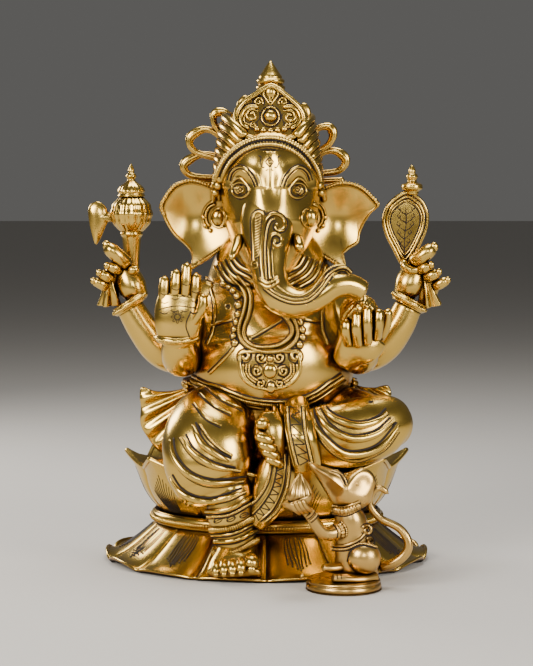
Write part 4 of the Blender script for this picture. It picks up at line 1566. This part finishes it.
# %% Figure pieces
piece("hips", [hips], "idol", ["hips"])
piece("torso", [torso, collar] + body_work, "idol", ["torso"], body_cuts)
piece("garland", garland, "idol", ["garland"], garland_cuts)
piece("pendant", pendant, "idol", ["pendant"], pendant_cuts)
piece("belt", belt, "idol", ["belt"], belt_cuts)
piece("left_thigh", [left_thigh], "idol", ["left_thigh"])
piece("left_shin", [left_shin] + seat_work, "idol", ["left_shin"], seat_cuts)
piece("right_thigh", [right_knee] + knee_work, "idol", ["right_thigh"], knee_cuts)
piece("right_shin", [right_calf] + shin_work, "idol", ["right_shin"], shin_cuts)
piece("right_foot", right_foot, "idol", ["right_foot"])
piece("left_foot", left_foot, "idol", ["left_foot"])
piece("lap_drape", [lap] + drape_work, "idol", ["lap_drape"], drape_cuts)
piece("front_sash", [sash] + tails + sash_work, "idol", ["front_sash"], sash_cuts)
for name, shape in arms.items():
    piece(name, [shape], "idol", [name])
for name, shapes in BANGLES.items():
    piece(name, shapes, "idol", [name])
piece("rear_right_hand", right_fist, "idol", ["rear_right_hand"])
piece("rear_left_hand", left_fist, "idol", ["rear_left_hand"])
piece("front_right_hand", right_palm, "idol", ["front_right_hand"], palm_cuts)
piece("front_left_hand", sweet_hand, "idol", ["front_left_hand"])
piece("sweet", sweet, "idol", ["sweet"])
piece("goad", goad, "idol", ["goad"])
piece("goad_blade", blade, "idol", ["goad_blade"])
piece("paddle", paddle + paddle_work, "idol", ["paddle"], paddle_cuts)
piece("paddle_finial", paddle_finial, "idol", ["paddle_finial"])
piece("head", [head] + face_work, "idol", ["head"], face_cuts)
piece("trunk", [trunk] + trunk_work, "idol", ["trunk"], trunk_cuts)
for name, shape in tusks.items():
    piece(name, [shape], "idol", [name])
for side, shape in (("right", right_ear), ("left", left_ear)):
    piece(side + "_ear", [shape] + ear_work[side], "idol", [side + "_ear"])
    piece(side + "_earring", earrings[side], "idol", [side + "_earring"])
piece("crown", [crown] + turban_rolls, "idol", ["crown"])
piece("crown_panel", [panel] + panel_work, "idol", ["crown_panel"], panel_cuts)
piece("brow_band", brow_band, "idol", ["brow_band"], band_cuts)
piece("crown_finial", [finial], "idol", ["crown_finial"])
for name, shapes in (("halo_right", halo_right), ("halo_left", halo_left),
                     ("scarf_end_right", scarf_right), ("scarf_end_left", scarf_left)):
    piece(name, shapes, "idol", [name])

# %% Mouse pieces
for name, shapes, cuts in (
        ("mouse_plate", plate, ()), ("mouse_body", mouse_body + mouse_work, mouse_cuts),
        ("mouse_head", mouse_head, ()), ("mouse_arm", mouse_arm, ()),
        ("mouse_bowl_of_sweets", bowl, ()), ("mouse_tail", tail, ())):
    piece(name, shapes, "mouse", [name], cuts, metal=MOUSE_BRASS)

# %% [markdown]
# ## Floor, light and camera

# %% Hidden fasteners keep their own shape and get dull steel
for item in list(bpy.context.scene.objects):
    if item.type == "MESH" and item.name.split(".")[0].startswith(("stud_", "nut_", "washer_")):
        for held in item.material_slots:
            held.material = STEEL

# %% Floor
floor_metal = plain("matt_paper_floor", "#bdb9b3", 0.85, uneven=0.03)
floor_mesh = bpy.data.meshes.new("floor")
half = 12.0
drop = -0.0002
floor_mesh.from_pydata([(-half, -half, drop), (half, -half, drop), (half, half, drop),
                        (-half, half, drop)], [], [(0, 1, 2, 3)])
floor_mesh.materials.append(floor_metal)
floor = bpy.data.objects.new("floor", floor_mesh)
bpy.context.scene.collection.objects.link(floor)

# %% Light
world = bpy.data.worlds.new("studio")
world.use_nodes = True
world.node_tree.nodes["Background"].inputs["Color"].default_value = linear("#d8d6d2")
world.node_tree.nodes["Background"].inputs["Strength"].default_value = 0.16
bpy.context.scene.world = world


def softbox(name, place, target, size_, power, colour):
    """Square soft light aimed at a point."""
    lamp = bpy.data.lights.new(name, "AREA")
    lamp.size, lamp.energy, lamp.color = size_, power, linear(colour)[:3]
    item = bpy.data.objects.new(name, lamp)
    item.location = place
    item.rotation_euler = (Vector(target) - Vector(place)).to_track_quat("-Z", "Y").to_euler()
    bpy.context.scene.collection.objects.link(item)
    return item


CHEST = (0, -0.03, 0.18)
softbox("key", (-0.85, -1.05, 0.80), CHEST, 0.62, 25, "#fffaf2")
softbox("fill", (1.0, -0.95, 0.55), CHEST, 0.55, 16, "#fffaf2")
softbox("front", (0.12, -1.7, 0.75), CHEST, 0.34, 6, "#ffffff")
softbox("top", (0.05, 0.15, 1.2), CHEST, 0.60, 13, "#ffffff")
softbox("rim", (-0.7, 0.6, 0.5), CHEST, 0.35, 6, "#fffaf2")

# %% Camera
view = bpy.data.cameras.new("view")
view.lens, view.sensor_width, view.sensor_fit = 108.5, 36.0, "VERTICAL"
view.sensor_height = 36.0
camera = bpy.data.objects.new("view", view)
camera.location = (0, -1.534, 0.292)
camera.rotation_euler = (math.radians(85.57), 0, 0)
bpy.context.scene.collection.objects.link(camera)
bpy.context.scene.camera = camera
